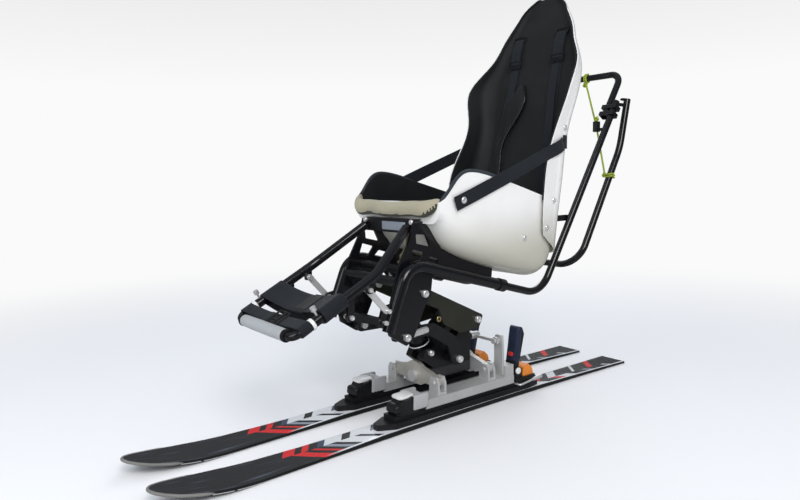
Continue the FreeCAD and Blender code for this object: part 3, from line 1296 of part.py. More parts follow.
def make_rear():
    keep_pair("rear_tube", tube(rear_route(), [0, REAR_BEND, 0], REAR_R, REAR_WALL))
    keep("rear_loop", tube(loop_route(), LOOP_RADII, REAR_R, REAR_WALL))
    keep("handle", tube(handle_route(), [0, HANDLE_BEND, HANDLE_BEND, 0], REAR_R, REAR_WALL))
    tube_solid = sweep(rear_route(), [0, REAR_BEND, 0], REAR_R)
    line = [vec(*p) for p in ROPE_LINE]
    bends = [0, ROPE_BEND, 0]
    rope = sweep(line, bends, ROPE_R)
    length = rounded_edges(line, bends, False).Length
    print(f"rope: length {length:.1f} mm, volume over section {rope.Volume / (math.pi * ROPE_R ** 2):.1f} mm")
    keep("rope_cleat", make_cleat().cut(tube_solid).cut(sweep(line, bends, ROPE_R + SEAT_GAP)))
    keep("rope", rope)


# Footrest

LEG_RUN = vec(0, FOOT_BAR[0] - LEG_KNEE[0], FOOT_BAR[1] - LEG_KNEE[1]).normalize()


def leg_z(y):
    """Height of the straight lower leg's middle line."""
    return LEG_KNEE[1] + (y - LEG_KNEE[0]) * LEG_RUN.z / LEG_RUN.y


def leg_normal():
    """Direction square to the lower leg, upwards."""
    return vec(0, LEG_RUN.z, -LEG_RUN.y)


def make_footrest_leg():
    """Bent outer tube with its lug on the crossbar, two tabs for the stays and an end ring."""
    points = [
        vec(LEG_TOP_X, *LEG_TOP), vec(LEG_X, *LEG_KNEE), vec(LEG_X, LEG_END_Y, leg_z(LEG_END_Y)),
    ]
    radii = [0, LEG_KNEE_BEND, 0]
    bar = sweep(points, radii, LEG_R)
    tab_in = STAY_X + STAY_THICK / 2 + SEAT_GAP
    tabs = []
    for (y, z), (foot, top, down) in ((STAY_UP, UP_TAB), (BAR_UP, BAR_TAB)):
        tabs.append(plate("x", [
            (y - foot, leg_z(y - foot)), (y + foot, leg_z(y + foot)),
            (y + top, z - down), (y - top, z - down),
        ], tab_in, tab_in + LUG_THICK, 3.0))
    end = points[2]
    ring = rod(end, point_along(end, points[1], LEG_RING), LEG_R + LEG_RING_WALL)
    leg = bar.multiFuse(tabs + [ring]).cut(sweep(points, radii, LEG_R - LEG_WALL))
    leg = leg.fuse(box(*LEG_LUG))
    for y, z in (STAY_UP, BAR_UP):
        leg = leg.cut(stay_bolt_hole(y, z))
    return leg


def make_stay(start, end, half_width):
    """Flat bar between two bolts in the plane between the frame's lugs and the legs' tabs."""
    along_y = end[0] - start[0]
    along_z = end[1] - start[1]
    length = math.hypot(along_y, along_z)
    uy, uz = along_y / length, along_z / length
    points = []
    for s, n in ((-1, -1), (length + 1, -1), (length + 1, 1), (-1, 1)):
        reach = s if 0 < s < length else s + math.copysign(half_width - 1, s)
        side = n * half_width
        points.append((start[0] + uy * reach - uz * side, start[1] + uz * reach + uy * side))
    bar = plate("x", points, STAY_X - STAY_THICK / 2, STAY_X + STAY_THICK / 2, half_width * 0.9)
    for y, z in (start, end):
        bar = bar.cut(stay_bolt_hole(y, z))
    return bar


def make_slider():
    """Inner legs and foot bar, one bent tube."""
    inner_y = LEG_END_Y - LEG_RUN.y * SLIDER_INSERT
    points = [
        vec(LEG_X, inner_y, leg_z(inner_y)), vec(LEG_X, *FOOT_BAR),
        vec(-LEG_X, *FOOT_BAR), vec(-LEG_X, inner_y, leg_z(inner_y)),
    ]
    return tube(points, [0, FOOT_BAR_BEND, FOOT_BAR_BEND, 0], SLIDER_R, 2.0)


def make_roll():
    """Soft roll round the foot bar, rounded at its ends."""
    roll = x_rod(-ROLL_HALF, ROLL_HALF, FOOT_BAR[0], FOOT_BAR[1], ROLL_R)
    ends = [e for e in roll.Edges if abs(abs(e.CenterOfMass.x) - ROLL_HALF) < 0.01]
    roll = roll.makeFillet(ROLL_R * 0.3, ends)
    return roll.cut(x_rod(-ROLL_HALF - 1, ROLL_HALF + 1, FOOT_BAR[0], FOOT_BAR[1], SLIDER_R + SEAT_GAP))


def make_strap_ring(inner_r, droop, near, far):
    """Webbing round both legs between two distances from the foot bar.

    Both runs are arcs that leave the tubes at the droop angle, so the sheet keeps one thickness.
    """
    up = leg_normal()
    base = vec(0, *FOOT_BAR) - LEG_RUN * near
    sine = math.sin(math.radians(droop))
    cosine = math.cos(math.radians(droop))
    sink = math.tan(math.radians(droop) / 2)

    def wire(radius):
        def at(x, n):
            return base + vec(x, 0, 0) + up * n

        high_x = LEG_X - radius * sine
        low_x = LEG_X + radius * sine
        level = radius * cosine
        return Part.Wire([
            Part.Arc(at(-high_x, level), at(0, level - high_x * sink), at(high_x, level)).toShape(),
            Part.Arc(at(high_x, level), at(LEG_X + level, radius * sine), at(low_x, -level)).toShape(),
            Part.Arc(at(low_x, -level), at(0, -level - low_x * sink), at(-low_x, -level)).toShape(),
            Part.Arc(at(-low_x, -level), at(-LEG_X - level, radius * sine), at(-high_x, level)).toShape(),
        ])

    push = LEG_RUN * (near - far)
    outer = Part.Face(wire(inner_r + STRAP_THICK)).extrude(push)
    return outer.cut(Part.Face(wire(inner_r)).extrude(push))


def make_footrest():
    keep("footrest_legs", *both(make_footrest_leg()))
    keep("footrest_links", *both(make_stay(STAY_UP, STAY_LOW, 8.0)))
    keep("footrest_bars", *both(make_stay(BAR_UP, BAR_LOW, 9.0)))
    keep("footrest_slider", make_slider())
    keep("foot_roll", make_roll())
    keep("calf_strap", make_strap_ring(LEG_R + SEAT_GAP, *CALF_STRAP))
    keep("foot_strap", make_strap_ring(SLIDER_R + SEAT_GAP, *FOOT_STRAP))


def main():
    os.makedirs("parts", exist_ok=True)
    make_skis()
    make_lean()
    bucket_outer, back_outer = make_seat()
    keep_pair("main_tube", make_main_tube())
    keep_pair("side_plate", make_side_plate(bucket_outer))
    keep("crossbars", *make_crossbars(bucket_outer))
    keep("lift_latch", make_latch())
    keep("frame_bolts", *make_frame_bolts())
    make_rear()
    keep("rear_brackets", *make_rear_brackets(back_outer))
    make_footrest()
    for name, shape in nodes.items():
        shape.exportStep(f"parts/{name}.step")
        print(f"{name}: {len(shape.Solids)} solid(s), {shape.Volume / 1000:.1f} cm3, valid {shape.isValid()}")


main()
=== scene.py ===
# %% [markdown]
# # A sit ski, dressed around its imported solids
# The frame is the finished assembly from the CAD step. Each cell below adds one kind of piece or one
# finish to it. Lengths are in metres: +X is the sitter's left, +Y is towards the tails, +Z is up.

import math

import bmesh
import bpy
import numpy as np
from mathutils import Matrix, Vector


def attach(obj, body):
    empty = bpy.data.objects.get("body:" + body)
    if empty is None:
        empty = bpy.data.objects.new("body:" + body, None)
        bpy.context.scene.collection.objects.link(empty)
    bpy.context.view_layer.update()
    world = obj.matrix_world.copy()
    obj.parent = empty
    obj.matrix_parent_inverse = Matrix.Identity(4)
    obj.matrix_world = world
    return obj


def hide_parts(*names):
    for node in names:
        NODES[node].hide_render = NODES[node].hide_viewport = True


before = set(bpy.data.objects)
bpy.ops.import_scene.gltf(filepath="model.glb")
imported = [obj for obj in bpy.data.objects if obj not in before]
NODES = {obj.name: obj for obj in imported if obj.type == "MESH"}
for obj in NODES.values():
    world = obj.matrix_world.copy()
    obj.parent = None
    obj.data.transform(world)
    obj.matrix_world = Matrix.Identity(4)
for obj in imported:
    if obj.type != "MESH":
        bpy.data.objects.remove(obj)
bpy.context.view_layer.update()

# %% [markdown]
# ## Camera
# The camera comes first, because every other choice is judged through it. A real photograph fixes a
# camera by its lens, height and heading. It could be placed by eye, but a measured heading keeps the
# proportions honest, so the numbers here come from matching known points of the object.

# %% Camera
HEADING = 0.9095
PITCH = 0.1122
ROLL = 0.0174
EYE = (1.4219, -1.1806, 0.6678)
LENS_PIXELS = 650.0
IMAGE_WIDTH = 800.0


def place_camera():
    """Axes from heading, pitch and roll: forward is level forward tipped down by the pitch, and the
    right and down axes are turned about it by the roll."""
    right = np.array([math.cos(HEADING), math.sin(HEADING), 0.0])
    forward = np.array([
        -math.sin(HEADING) * math.cos(PITCH), math.cos(HEADING) * math.cos(PITCH), -math.sin(PITCH)])
    down = np.cross(forward, right)
    across = math.cos(ROLL) * right + math.sin(ROLL) * down
    below = -math.sin(ROLL) * right + math.cos(ROLL) * down
    camera = bpy.data.objects.new("camera", bpy.data.cameras.new("camera"))
    camera.data.sensor_width = 36.0
    camera.data.lens = LENS_PIXELS / IMAGE_WIDTH * camera.data.sensor_width
    camera.data.clip_end = 200.0
    turn = Matrix(np.column_stack([across, -below, -forward]).tolist()).to_4x4()
    turn.translation = EYE
    camera.matrix_world = turn
    bpy.context.collection.objects.link(camera)
    bpy.context.scene.camera = camera
    return camera


camera = place_camera()
print("camera lens:", round(camera.data.lens, 2), "mm")

# %% [markdown]
# ## Wiring nodes
# Every finish, the floor and the studio light are trees of nodes. They could be wired one socket at a
# time, but a helper that makes a node and fills its inputs in one call keeps each tree short to read.

# %% Wiring nodes


def wire(tree, kind, settings=None, **inputs):
    """A node of a kind with its inputs set to values or linked to sockets; returns the node. An input is
    named by its label, with _ for a space, or by its number, as in i0."""
    node = tree.nodes.new("ShaderNode" + kind)
    for key, value in (settings or {}).items():
        setattr(node, key, value)
    for key, value in inputs.items():
        label = key.replace("_", " ")
        slot = node.inputs[int(key[1:])] if key[0] == "i" and key[1:].isdigit() else node.inputs[label]
        if isinstance(value, bpy.types.NodeSocket):
            tree.links.new(value, slot)
        else:
            slot.default_value = value
    return node


print("node helper ready")

# %% [markdown]
# ## Studio light
# A product picture is lit by large soft lamps, so that gloss shows wide highlights and shadows stay
# pale. One strong lamp would burn the white shell. The world adds an even glow. What the camera sees
# and what a glossy face mirrors are set apart from that glow, so that the blacks stay black.

# %% Studio light
scene = bpy.context.scene
scene.view_settings.view_transform = "Standard"
BACKDROP = 0.955
# Columns: name, place, target, size, power, tint
LAMPS = (
    ("key_lamp", (2.6, -1.2, 2.6), (0.0, 0.1, 0.5), 1.6, 62.0, (1.0, 0.98, 0.95)),
    ("front_lamp", (0.2, -3.2, 1.6), (0.0, 0.0, 0.5), 2.2, 34.0, (0.96, 0.98, 1.0)),
    ("rear_lamp", (-2.2, 2.4, 2.4), (0.0, 0.2, 0.6), 2.0, 30.0, (0.95, 0.98, 1.0)),
)


def area_lamp(name, place, target, size, power, tint):
    """A square lamp at a place, turned so that its face looks at the target."""
    lamp = bpy.data.lights.new(name, "AREA")
    lamp.size = size
    lamp.energy = power
    lamp.color = tint
    holder = bpy.data.objects.new(name, lamp)
    holder.location = place
    holder.rotation_euler = (Vector(target) - Vector(place)).to_track_quat("-Z", "Y").to_euler()
    bpy.context.collection.objects.link(holder)


def light_world():
    """An even blue-white glow; mirrored rays see one that grows with height, and the camera sees a
    backdrop that darkens a little upwards."""
    world = bpy.data.worlds.new("studio")
    scene.world = world
    world.use_nodes = True
    tree = world.node_tree
    tree.nodes.clear()
    rays = wire(tree, "LightPath").outputs
    height = wire(tree, "SeparateXYZ", i0=wire(tree, "TexCoord").outputs["Generated"]).outputs["Z"]
    shade = wire(tree, "MapRange", Value=height, From_Min=0.13, From_Max=0.3, To_Min=BACKDROP, To_Max=0.8)
    seen = wire(tree, "Background", Color=shade.outputs[0])
    lit = wire(tree, "Background", Color=(0.86, 0.91, 1.0, 1.0), Strength=0.62)
    glow = wire(tree, "MapRange", Value=height, From_Min=-0.1, From_Max=0.9, To_Min=0.02, To_Max=0.34)
    mirrored = wire(tree, "Background", Color=(0.9, 0.95, 1.0, 1.0), Strength=glow.outputs[0])
    light = wire(tree, "MixShader", i0=rays["Is Glossy Ray"], i1=lit.outputs[0], i2=mirrored.outputs[0])
    direct = wire(tree, "Math", {"operation": "MAXIMUM"}, i0=rays["Is Camera Ray"],
        i1=rays["Is Transmission Ray"])
    both = wire(tree, "MixShader", i0=direct.outputs[0], i1=light.outputs[0], i2=seen.outputs[0])
    wire(tree, "OutputWorld", Surface=both.outputs[0])


for lamp_row in LAMPS:
    area_lamp(*lamp_row)
light_world()

# %% [markdown]
# ## Floor
# The floor fades into the backdrop with distance, which hides the horizon and still catches the shadow
# under the skis. A curved sweep behind the object would do the same, but would stand in the way of a
# camera behind it.

# %% Floor
FLOOR_REACH = 60.0
FADE_FROM, FADE_TO = 1.0, 3.4
# Columns: shader, colour for the camera, grey for mirrored rays
FLOOR_TONES = (("BsdfDiffuse", (0.9, 0.9, 0.91), 0.3), ("Emission", (BACKDROP,) * 3, 0.16))


def make_floor():
    """A wide flat square. Beyond a few metres its material turns into the plain backdrop."""
    mesh = bpy.data.meshes.new("floor")
    corners = [(x * FLOOR_REACH, y * FLOOR_REACH, 0) for x, y in ((-1, -1), (1, -1), (1, 1), (-1, 1))]
    mesh.from_pydata(corners, [], [(0, 1, 2, 3)])
    floor = bpy.data.objects.new("floor", mesh)
    bpy.context.collection.objects.link(floor)
    material = bpy.data.materials.new("floor_paper")
    material.use_nodes = True
    tree = material.node_tree
    tree.nodes.clear()
    glossy = wire(tree, "LightPath").outputs["Is Glossy Ray"]
    shaders = []
    for kind, plain, mirrored in FLOOR_TONES:
        tone = wire(tree, "Mix", {"data_type": "RGBA"}, i0=glossy, i6=(*plain, 1.0),
            i7=(*(mirrored,) * 3, 1.0))
        shaders.append(wire(tree, kind, None, Color=tone.outputs[2]).outputs[0])
    far = wire(tree, "VectorMath", {"operation": "LENGTH"}, i0=wire(tree, "TexCoord").outputs["Object"])
    fade = wire(tree, "MapRange", {"interpolation_type": "SMOOTHSTEP"}, Value=far.outputs["Value"],
        From_Min=FADE_FROM, From_Max=FADE_TO)
    mix = wire(tree, "MixShader", i0=fade.outputs[0], i1=shaders[0], i2=shaders[1])
    wire(tree, "OutputMaterial", Surface=mix.outputs[0])
    mesh.materials.append(material)
    return floor


floor = make_floor()
print("floor:", floor.name, "fades from", FADE_FROM, "to", FADE_TO, "m")

# %% [markdown]
# ## Shared effects as node groups
# Grain, brushing, weave and handling marks turn up on many finishes. Each is a group of nodes that is
# built once, with named inputs, and placed in every material that needs it with its own values.

# %% Node groups


class Group:
    """A new node group: its sockets are named on making, and wire() adds a node with its inputs."""

    def __init__(self, name, inputs, outputs):
        self.tree = bpy.data.node_groups.new(name, "ShaderNodeTree")
        for label, kind, value in inputs:
            socket = self.tree.interface.new_socket(label, in_out="INPUT", socket_type="NodeSocket" + kind)
            if value is not None:
                socket.default_value = value
        for label, kind in outputs:
            self.tree.interface.new_socket(label, in_out="OUTPUT", socket_type="NodeSocket" + kind)
        self.source = self.tree.nodes.new("NodeGroupInput")
        self.result = self.tree.nodes.new("NodeGroupOutput")

    def wire(self, kind, settings=None, **inputs):
        """wire() in this group's own tree."""
        return wire(self.tree, kind, settings, **inputs)

    def maths(self, operation, *values):
        """A node that works out one operation on up to three values or sockets."""
        return self.wire("Math", {"operation": operation}, **{f"i{k}": value for k,
            value in enumerate(values)})

    def blend(self, share, low, high):
        """A node that mixes two colours: low where the share is nothing, high where it is one."""
        return self.wire("Mix", {"data_type": "RGBA"}, i0=share, i6=low, i7=high)

    def out(self, **outputs):
        """Links sockets to the group's outputs by label."""
        for label, socket in outputs.items():
            self.tree.links.new(socket, self.result.inputs[label])

    def take(self, label):
        """The group's own input of that label."""
        return self.source.outputs[label]


print("group helper ready")

# %% [markdown]
# ## Grain
# Moulded plastic, paint and foam are never quite flat. A photograph of a surface could be mapped
# on, but two noises of unlike size give fine pits over broad ripples without any picture.

# %% Grain


def make_grain_group():
    """Fine pits plus broad ripples: height is the fine noise and a share of a coarse noise."""
    g = Group("grain", [("Vector", "Vector", None), ("Scale", "Float", 900.0), ("Ripple", "Float", 0.3)],
        [("Height", "Float")])
    fine = g.wire("TexNoise", Vector=g.take("Vector"), Scale=g.take("Scale"), Detail=3.0)
    wide = g.wire("TexNoise", Vector=g.take("Vector"), Scale=24.0, Detail=2.0)
    share = g.maths("MULTIPLY", wide.outputs[0], g.take("Ripple"))
    total = g.maths("ADD", fine.outputs[0], share.outputs[0])
    g.out(Height=total.outputs[0])
    return g.tree


GRAIN = make_grain_group()
print("group:", GRAIN.name)

# %% [markdown]
# ## Handling marks
# Used parts show faint stains and sparse scratches. They could be painted by hand, but a noise that
# picks between a clean and a stained colour, and roughens the gloss with it, serves every part.

# %% Handling marks


def make_handling_group():
    """Colour and roughness that change over the surface: a soft stain and sparse fine scratches."""
    g = Group("handling", [
        ("Vector", "Vector", None), ("Clean", "Color", (0.5, 0.5, 0.5, 1.0)),
        ("Stain", "Color", (0.3, 0.3, 0.3, 1.0)),
        ("Amount", "Float", 0.4), ("Roughness", "Float", 0.3), ("Spread", "Float", 0.15)],
        [("Color", "Color"), ("Roughness", "Float")])
    stain = g.wire("TexNoise", Vector=g.take("Vector"), Scale=9.0, Detail=5.0, Roughness=0.62)
    patch = g.wire("MapRange", Value=stain.outputs[0], From_Min=0.42, From_Max=0.72)
    stretch = g.wire("Mapping", Vector=g.take("Vector"), Scale=(9.0, 1.0, 3.0))
    scratch = g.wire("TexNoise", Vector=stretch.outputs[0], Scale=70.0, Detail=2.0)
    lines = g.wire("MapRange", Value=scratch.outputs[0], From_Min=0.68, From_Max=0.75)
    both = g.maths("MAXIMUM", patch.outputs[0], lines.outputs[0])
    share = g.wire("Math", {"operation": "MULTIPLY", "use_clamp": True}, i0=both.outputs[0],
        i1=g.take("Amount"))
    tone = g.blend(share.outputs[0], g.take("Clean"), g.take("Stain"))
    wider = g.maths("MULTIPLY_ADD", stain.outputs[0], g.take("Spread"), g.take("Roughness"))
    g.out(Color=tone.outputs[2], Roughness=wider.outputs[0])
    return g.tree


HANDLING = make_handling_group()
print("group:", HANDLING.name)

# %% [markdown]
# ## Brushed lines
# A cutter leaves long fine lines on machined metal. An anisotropic shader would stretch the
# highlight only, while noise squeezed along one axis also shows the lines from near by.

# %% Brushed lines


def make_brushed_group():
    """Long fine lines left by a cutter: noise squeezed hard along one axis."""
    g = Group("brushed", [("Vector", "Vector", None), ("Stretch", "Vector", (1.0, 0.03, 1.0)),
        ("Scale", "Float", 500.0)], [("Height", "Float")])
    squeeze = g.wire("VectorMath", {"operation": "MULTIPLY"}, i0=g.take("Vector"), i1=g.take("Stretch"))
    lines = g.wire("TexNoise", Vector=squeeze.outputs[0], Scale=g.take("Scale"), Detail=2.0)
    g.out(Height=lines.outputs[0])
    return g.tree


BRUSHED = make_brushed_group()
print("group:", BRUSHED.name)

# %% [markdown]
# ## Weave
# Webbing and the cover of the front roll are woven. Threads could be modelled, but two sine waves
# multiplied on the UV in metres give the crossing threads at their true width.

# %% Weave


def make_weave_group():
    """Plain weave on UV in metres: height is sin(u k) times sin(v k) with rounded tops, plus fuzz; Shade is
    painted shade in the dips and painted highlight on the tops.
    """
    g = Group("weave", [("Vector", "Vector", None), ("Threads", "Float", 2400.0), ("Fuzz", "Float", 0.3)],
        [("Height", "Float"), ("Shade", "Float")])
    scaled = g.wire("VectorMath", {"operation": "SCALE"}, i0=g.take("Vector"), Scale=g.take("Threads"))
    split = g.wire("SeparateXYZ", i0=scaled.outputs[0])
    warp = g.maths("SINE", split.outputs[0])
    weft = g.maths("SINE", split.outputs[1])
    cross = g.maths("MULTIPLY", warp.outputs[0], weft.outputs[0])
    fuzz = g.wire("TexNoise", Vector=g.take("Vector"), Scale=700.0, Detail=4.0)
    share = g.maths("MULTIPLY", fuzz.outputs[0], g.take("Fuzz"))
    total = g.maths("ADD", cross.outputs[0], share.outputs[0])
    shade = g.wire("MapRange", Value=total.outputs[0], From_Min=-1.0, From_Max=1.3, To_Min=0.7, To_Max=1.15)
    g.out(Height=total.outputs[0], Shade=shade.outputs[0])
    return g.tree


WEAVE = make_weave_group()
print("groups:", [g.name for g in bpy.data.node_groups])

# %% [markdown]
# ## One recipe for all finishes
# Every finish starts from the same recipe: a clean colour, a stain that wanders over it, a roughness
# that follows the stain and a fine bump. Materials could be made one by one, but a function keeps a
# whole table of them readable. Only the print on the skis takes its colour from elsewhere.

# %% One recipe for all finishes
COAT_ROUGHNESS = 0.04
SHEEN_ROUGHNESS = 0.4
ROUGHNESS_SPREAD = 0.15
BUMP_DEPTH = 0.0004


def finish(name, clean, rough, stain=None, amount=0.35, metal=0.0, coat=0.0, sheen=0.0, shine=0.5,
           grain=(900.0, 0.3), bump=0.05, brushed=None, weave=None):
    """Principled finish on object coordinates: handling marks tint it, and grain, brushing or weave
    lift it. Without a stain colour, the stain is six tenths of the clean colour."""
    material = bpy.data.materials.new(name)
    material.use_nodes = True
    tree = material.node_tree
    surface = tree.nodes["Principled BSDF"]
    values = {
        "Metallic": metal, "Coat Weight": coat, "Coat Roughness": COAT_ROUGHNESS, "Sheen Weight": sheen,
        "Sheen Roughness": SHEEN_ROUGHNESS, "Specular IOR Level": shine}
    for label, value in values.items():
        surface.inputs[label].default_value = value
    place = wire(tree, "TexCoord").outputs["Object"]
    marks = wire(tree, "Group", {"node_tree": HANDLING}, Vector=place, Clean=(*clean, 1.0),
                 Stain=(*(stain or [c * 0.6 for c in clean]), 1.0), Amount=amount, Roughness=rough,
                 Spread=ROUGHNESS_SPREAD)
    colour = marks.outputs["Color"]
    if weave:
        cloth = wire(tree, "Group", {"node_tree": WEAVE}, Vector=wire(tree, "UVMap").outputs[0],
            Threads=weave)
        # the weave's Shade multiplies the colour: painted shade between the threads and painted highlight on
        # them
        shaded = wire(tree, "Mix", {"data_type": "RGBA", "blend_type": "MULTIPLY"}, i0=1.0, i6=colour,
            i7=cloth.outputs["Shade"])
        colour, height = shaded.outputs[2], cloth.outputs["Height"]
    elif brushed:
        height = wire(tree, "Group", {"node_tree": BRUSHED}, Vector=place, Stretch=brushed).outputs[0]
    else:
        height = wire(tree, "Group", {"node_tree": GRAIN}, Vector=place, Scale=grain[0],
            Ripple=grain[1]).outputs[0]
    lift = wire(tree, "Bump", Height=height, Strength=bump, Distance=BUMP_DEPTH)
    for label, socket in (("Base Color", colour), ("Roughness", marks.outputs["Roughness"]),
            ("Normal", lift.outputs[0])):
        tree.links.new(socket, surface.inputs[label])
    return material


print("finish recipe ready")

# %% [markdown]
# ## Table of finishes
# Blacks on the real object are deep, so their colours stay near 0.01 and their shine under 0.4.
# Metals are mixed with some plain colour, since a pure mirror would only show the grey studio. A
# table is easier to compare and change than one call for each finish.

# %% Table of finishes
ALONG_Y = (1.0, 0.03, 1.0)
ALONG_X = (0.03, 1.0, 1.0)
LOOKS = {
    "ski_side": dict(clean=(0.008, 0.008, 0.009), rough=0.28, coat=0.15, shine=0.3, stain=(0.03, 0.03, 0.035),
        amount=0.15),
    "riser": dict(clean=(0.009, 0.009, 0.01), rough=0.4, shine=0.25, stain=(0.035, 0.035, 0.04), amount=0.2),
    "binding": dict(clean=(0.009, 0.009, 0.01), rough=0.22, coat=0.2, shine=0.3, stain=(0.03, 0.03, 0.03),
        amount=0.12),
    "beam": dict(clean=(0.64, 0.64, 0.635), rough=0.36, metal=0.5, stain=(0.36, 0.36, 0.36), brushed=ALONG_Y,
        bump=0.12),
    "machined": dict(clean=(0.74, 0.74, 0.73), rough=0.32, metal=0.55, stain=(0.45, 0.45, 0.45),
        brushed=ALONG_X, bump=0.16),
    "bright": dict(clean=(0.86, 0.86, 0.86), rough=0.24, metal=0.7, stain=(0.55, 0.55, 0.55), amount=0.2,
        bump=0.02),
    "arm": dict(clean=(0.58, 0.555, 0.50), rough=0.34, metal=0.5, stain=(0.3, 0.285, 0.26), brushed=ALONG_X,
        bump=0.12),
    "link": dict(clean=(0.024, 0.025, 0.018), rough=0.32, metal=0.2, coat=0.12, shine=0.35,
        stain=(0.05, 0.05, 0.036), amount=0.3),
    "housing": dict(clean=(0.09, 0.09, 0.095), rough=0.35, metal=0.7, stain=(0.04, 0.04, 0.045),
        brushed=ALONG_X, bump=0.1),
    "black_metal": dict(clean=(0.008, 0.008, 0.009), rough=0.3, coat=0.1, shine=0.35,
        stain=(0.03, 0.03, 0.033), amount=0.2, brushed=ALONG_X, bump=0.06),
    "orange": dict(clean=(0.85, 0.26, 0.02), rough=0.25, coat=0.3, stain=(0.5, 0.13, 0.01), amount=0.25),
    "shock": dict(clean=(0.008, 0.008, 0.009), rough=0.2, coat=0.3, shine=0.3, stain=(0.04, 0.04, 0.04),
        amount=0.12),
    "shell": dict(clean=(0.86, 0.86, 0.85), rough=0.16, coat=0.6, stain=(0.7, 0.68, 0.63), amount=0.25,
        bump=0.02),
    "liner": dict(clean=(0.009, 0.01, 0.011), rough=0.5, sheen=0.12, shine=0.25, stain=(0.022, 0.024, 0.026),
        amount=0.35, grain=(420.0, 0.6), bump=0.3),
    "foam": dict(clean=(0.03, 0.038, 0.048), rough=0.75, sheen=0.12, shine=0.3, stain=(0.018, 0.022, 0.028),
        grain=(700.0, 0.4), bump=0.4),
    "lip": dict(clean=(0.40, 0.37, 0.27), rough=0.8, sheen=0.2, stain=(0.28, 0.255, 0.185), weave=2600.0,
        bump=0.35),
    # below the seam of the roll: partly the cloth's own dark colour, partly painted shade of the underside
    "lip_dark_cloth_and_shade": dict(clean=(0.045, 0.045, 0.03), rough=0.8, sheen=0.25, stain=(0.03, 0.03, 0.02),
        weave=2600.0, bump=0.35),
    "webbing": dict(clean=(0.010, 0.013, 0.018), rough=0.72, sheen=0.1, shine=0.25,
        stain=(0.02, 0.025, 0.032), weave=2300.0, bump=0.5),
    "tube": dict(clean=(0.005, 0.005, 0.007), rough=0.13, coat=0.35, shine=0.35, stain=(0.012, 0.013, 0.018),
        amount=0.1, grain=(160.0, 0.2), bump=0.01),
    "zinc": dict(clean=(0.62, 0.54, 0.33), rough=0.26, metal=1.0, stain=(0.35, 0.3, 0.2), amount=0.3),
    "brass": dict(clean=(0.75, 0.58, 0.28), rough=0.24, metal=1.0, stain=(0.4, 0.3, 0.15), amount=0.3),
    "cleat": dict(clean=(0.012, 0.012, 0.013), rough=0.35, shine=0.3, stain=(0.04, 0.04, 0.04), amount=0.2),
    "roll": dict(clean=(0.42, 0.44, 0.46), rough=0.45, metal=0.1, sheen=0.1, stain=(0.3, 0.31, 0.32),
        grain=(600.0, 0.5), bump=0.2),
    "white": dict(clean=(0.78, 0.78, 0.77), rough=0.3, coat=0.3, stain=(0.6, 0.6, 0.58), amount=0.25,
        bump=0.02),
    "jaw": dict(clean=(0.42, 0.42, 0.43), rough=0.35, stain=(0.3, 0.3, 0.3), amount=0.3),
    "navy": dict(clean=(0.014, 0.022, 0.05), rough=0.35, shine=0.35, stain=(0.03, 0.045, 0.09), amount=0.3,
        coat=0.1),
    "red": dict(clean=(0.62, 0.02, 0.02), rough=0.3, coat=0.3),
    "guard": dict(clean=(0.2, 0.195, 0.185), rough=0.4, stain=(0.12, 0.12, 0.11), amount=0.4),
    "rubber": dict(clean=(0.01, 0.01, 0.01), rough=0.6, shine=0.25, grain=(500.0, 0.5), bump=0.2),
    "velcro": dict(clean=(0.009, 0.009, 0.01), rough=0.95, sheen=0.2, shine=0.2, grain=(1500.0, 0.2),
        bump=0.8),
    "rope": dict(clean=(0.32, 0.42, 0.03), rough=0.7, stain=(0.12, 0.2, 0.02), amount=0.6,
        grain=(1500.0, 0.3), bump=0.4),
    "plate_blue": dict(clean=(0.5, 0.56, 0.66), rough=0.3, metal=0.7, stain=(0.4, 0.45, 0.55), amount=0.2,
        brushed=ALONG_X, bump=0.1),
}
FINISHES = {name: finish(name, **look) for name, look in LOOKS.items()}
print("finishes:", len(FINISHES))

# %% [markdown]
# ## Painted reflection on the underside of the shell
# The glossy shell mirrors the floor and the frame, which gives its underside a sandy, darker tone. More
# lamps could do that, but here that reflection and shade are painted: a sandy tint that grows towards
# the bottom keeps the top clean.

# %% Painted reflection on the underside of the shell
REFLECTION_FROM, REFLECTION_TO, REFLECTION_SHARE = 0.60, 0.43, 0.8
REFLECTED_SAND = (0.40, 0.385, 0.29, 1.0)


def paint_shell_underside_reflection(material):
    """Height on object z picks how much of the sandy painted reflection and shade is mixed into the colour.
    """
    tree = material.node_tree
    surface = tree.nodes["Principled BSDF"]
    plain = surface.inputs["Base Color"].links[0].from_socket
    height = wire(tree, "SeparateXYZ", i0=wire(tree, "TexCoord").outputs["Object"]).outputs[2]
    low = wire(tree, "MapRange", {"interpolation_type": "SMOOTHSTEP"}, Value=height, From_Min=REFLECTION_FROM,
        From_Max=REFLECTION_TO, To_Min=0.0, To_Max=REFLECTION_SHARE)
    # painted reflection and shade: the sandy colour is mixed in more towards the bottom of the shell
    tint = wire(tree, "Mix", {"data_type": "RGBA"}, i0=low.outputs[0], i6=plain, i7=REFLECTED_SAND)
    tree.links.new(tint.outputs[2], surface.inputs["Base Color"])


paint_shell_underside_reflection(FINISHES["shell"])
print("shell tinted from", REFLECTION_FROM, "down to", REFLECTION_TO, "m")

# %% [markdown]
# ## Dressing the solids
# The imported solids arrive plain. Each gets the finish of what it is made of, by its name without left
# or right. Materials could be given face by face, but here one part is one material, as on a bench.

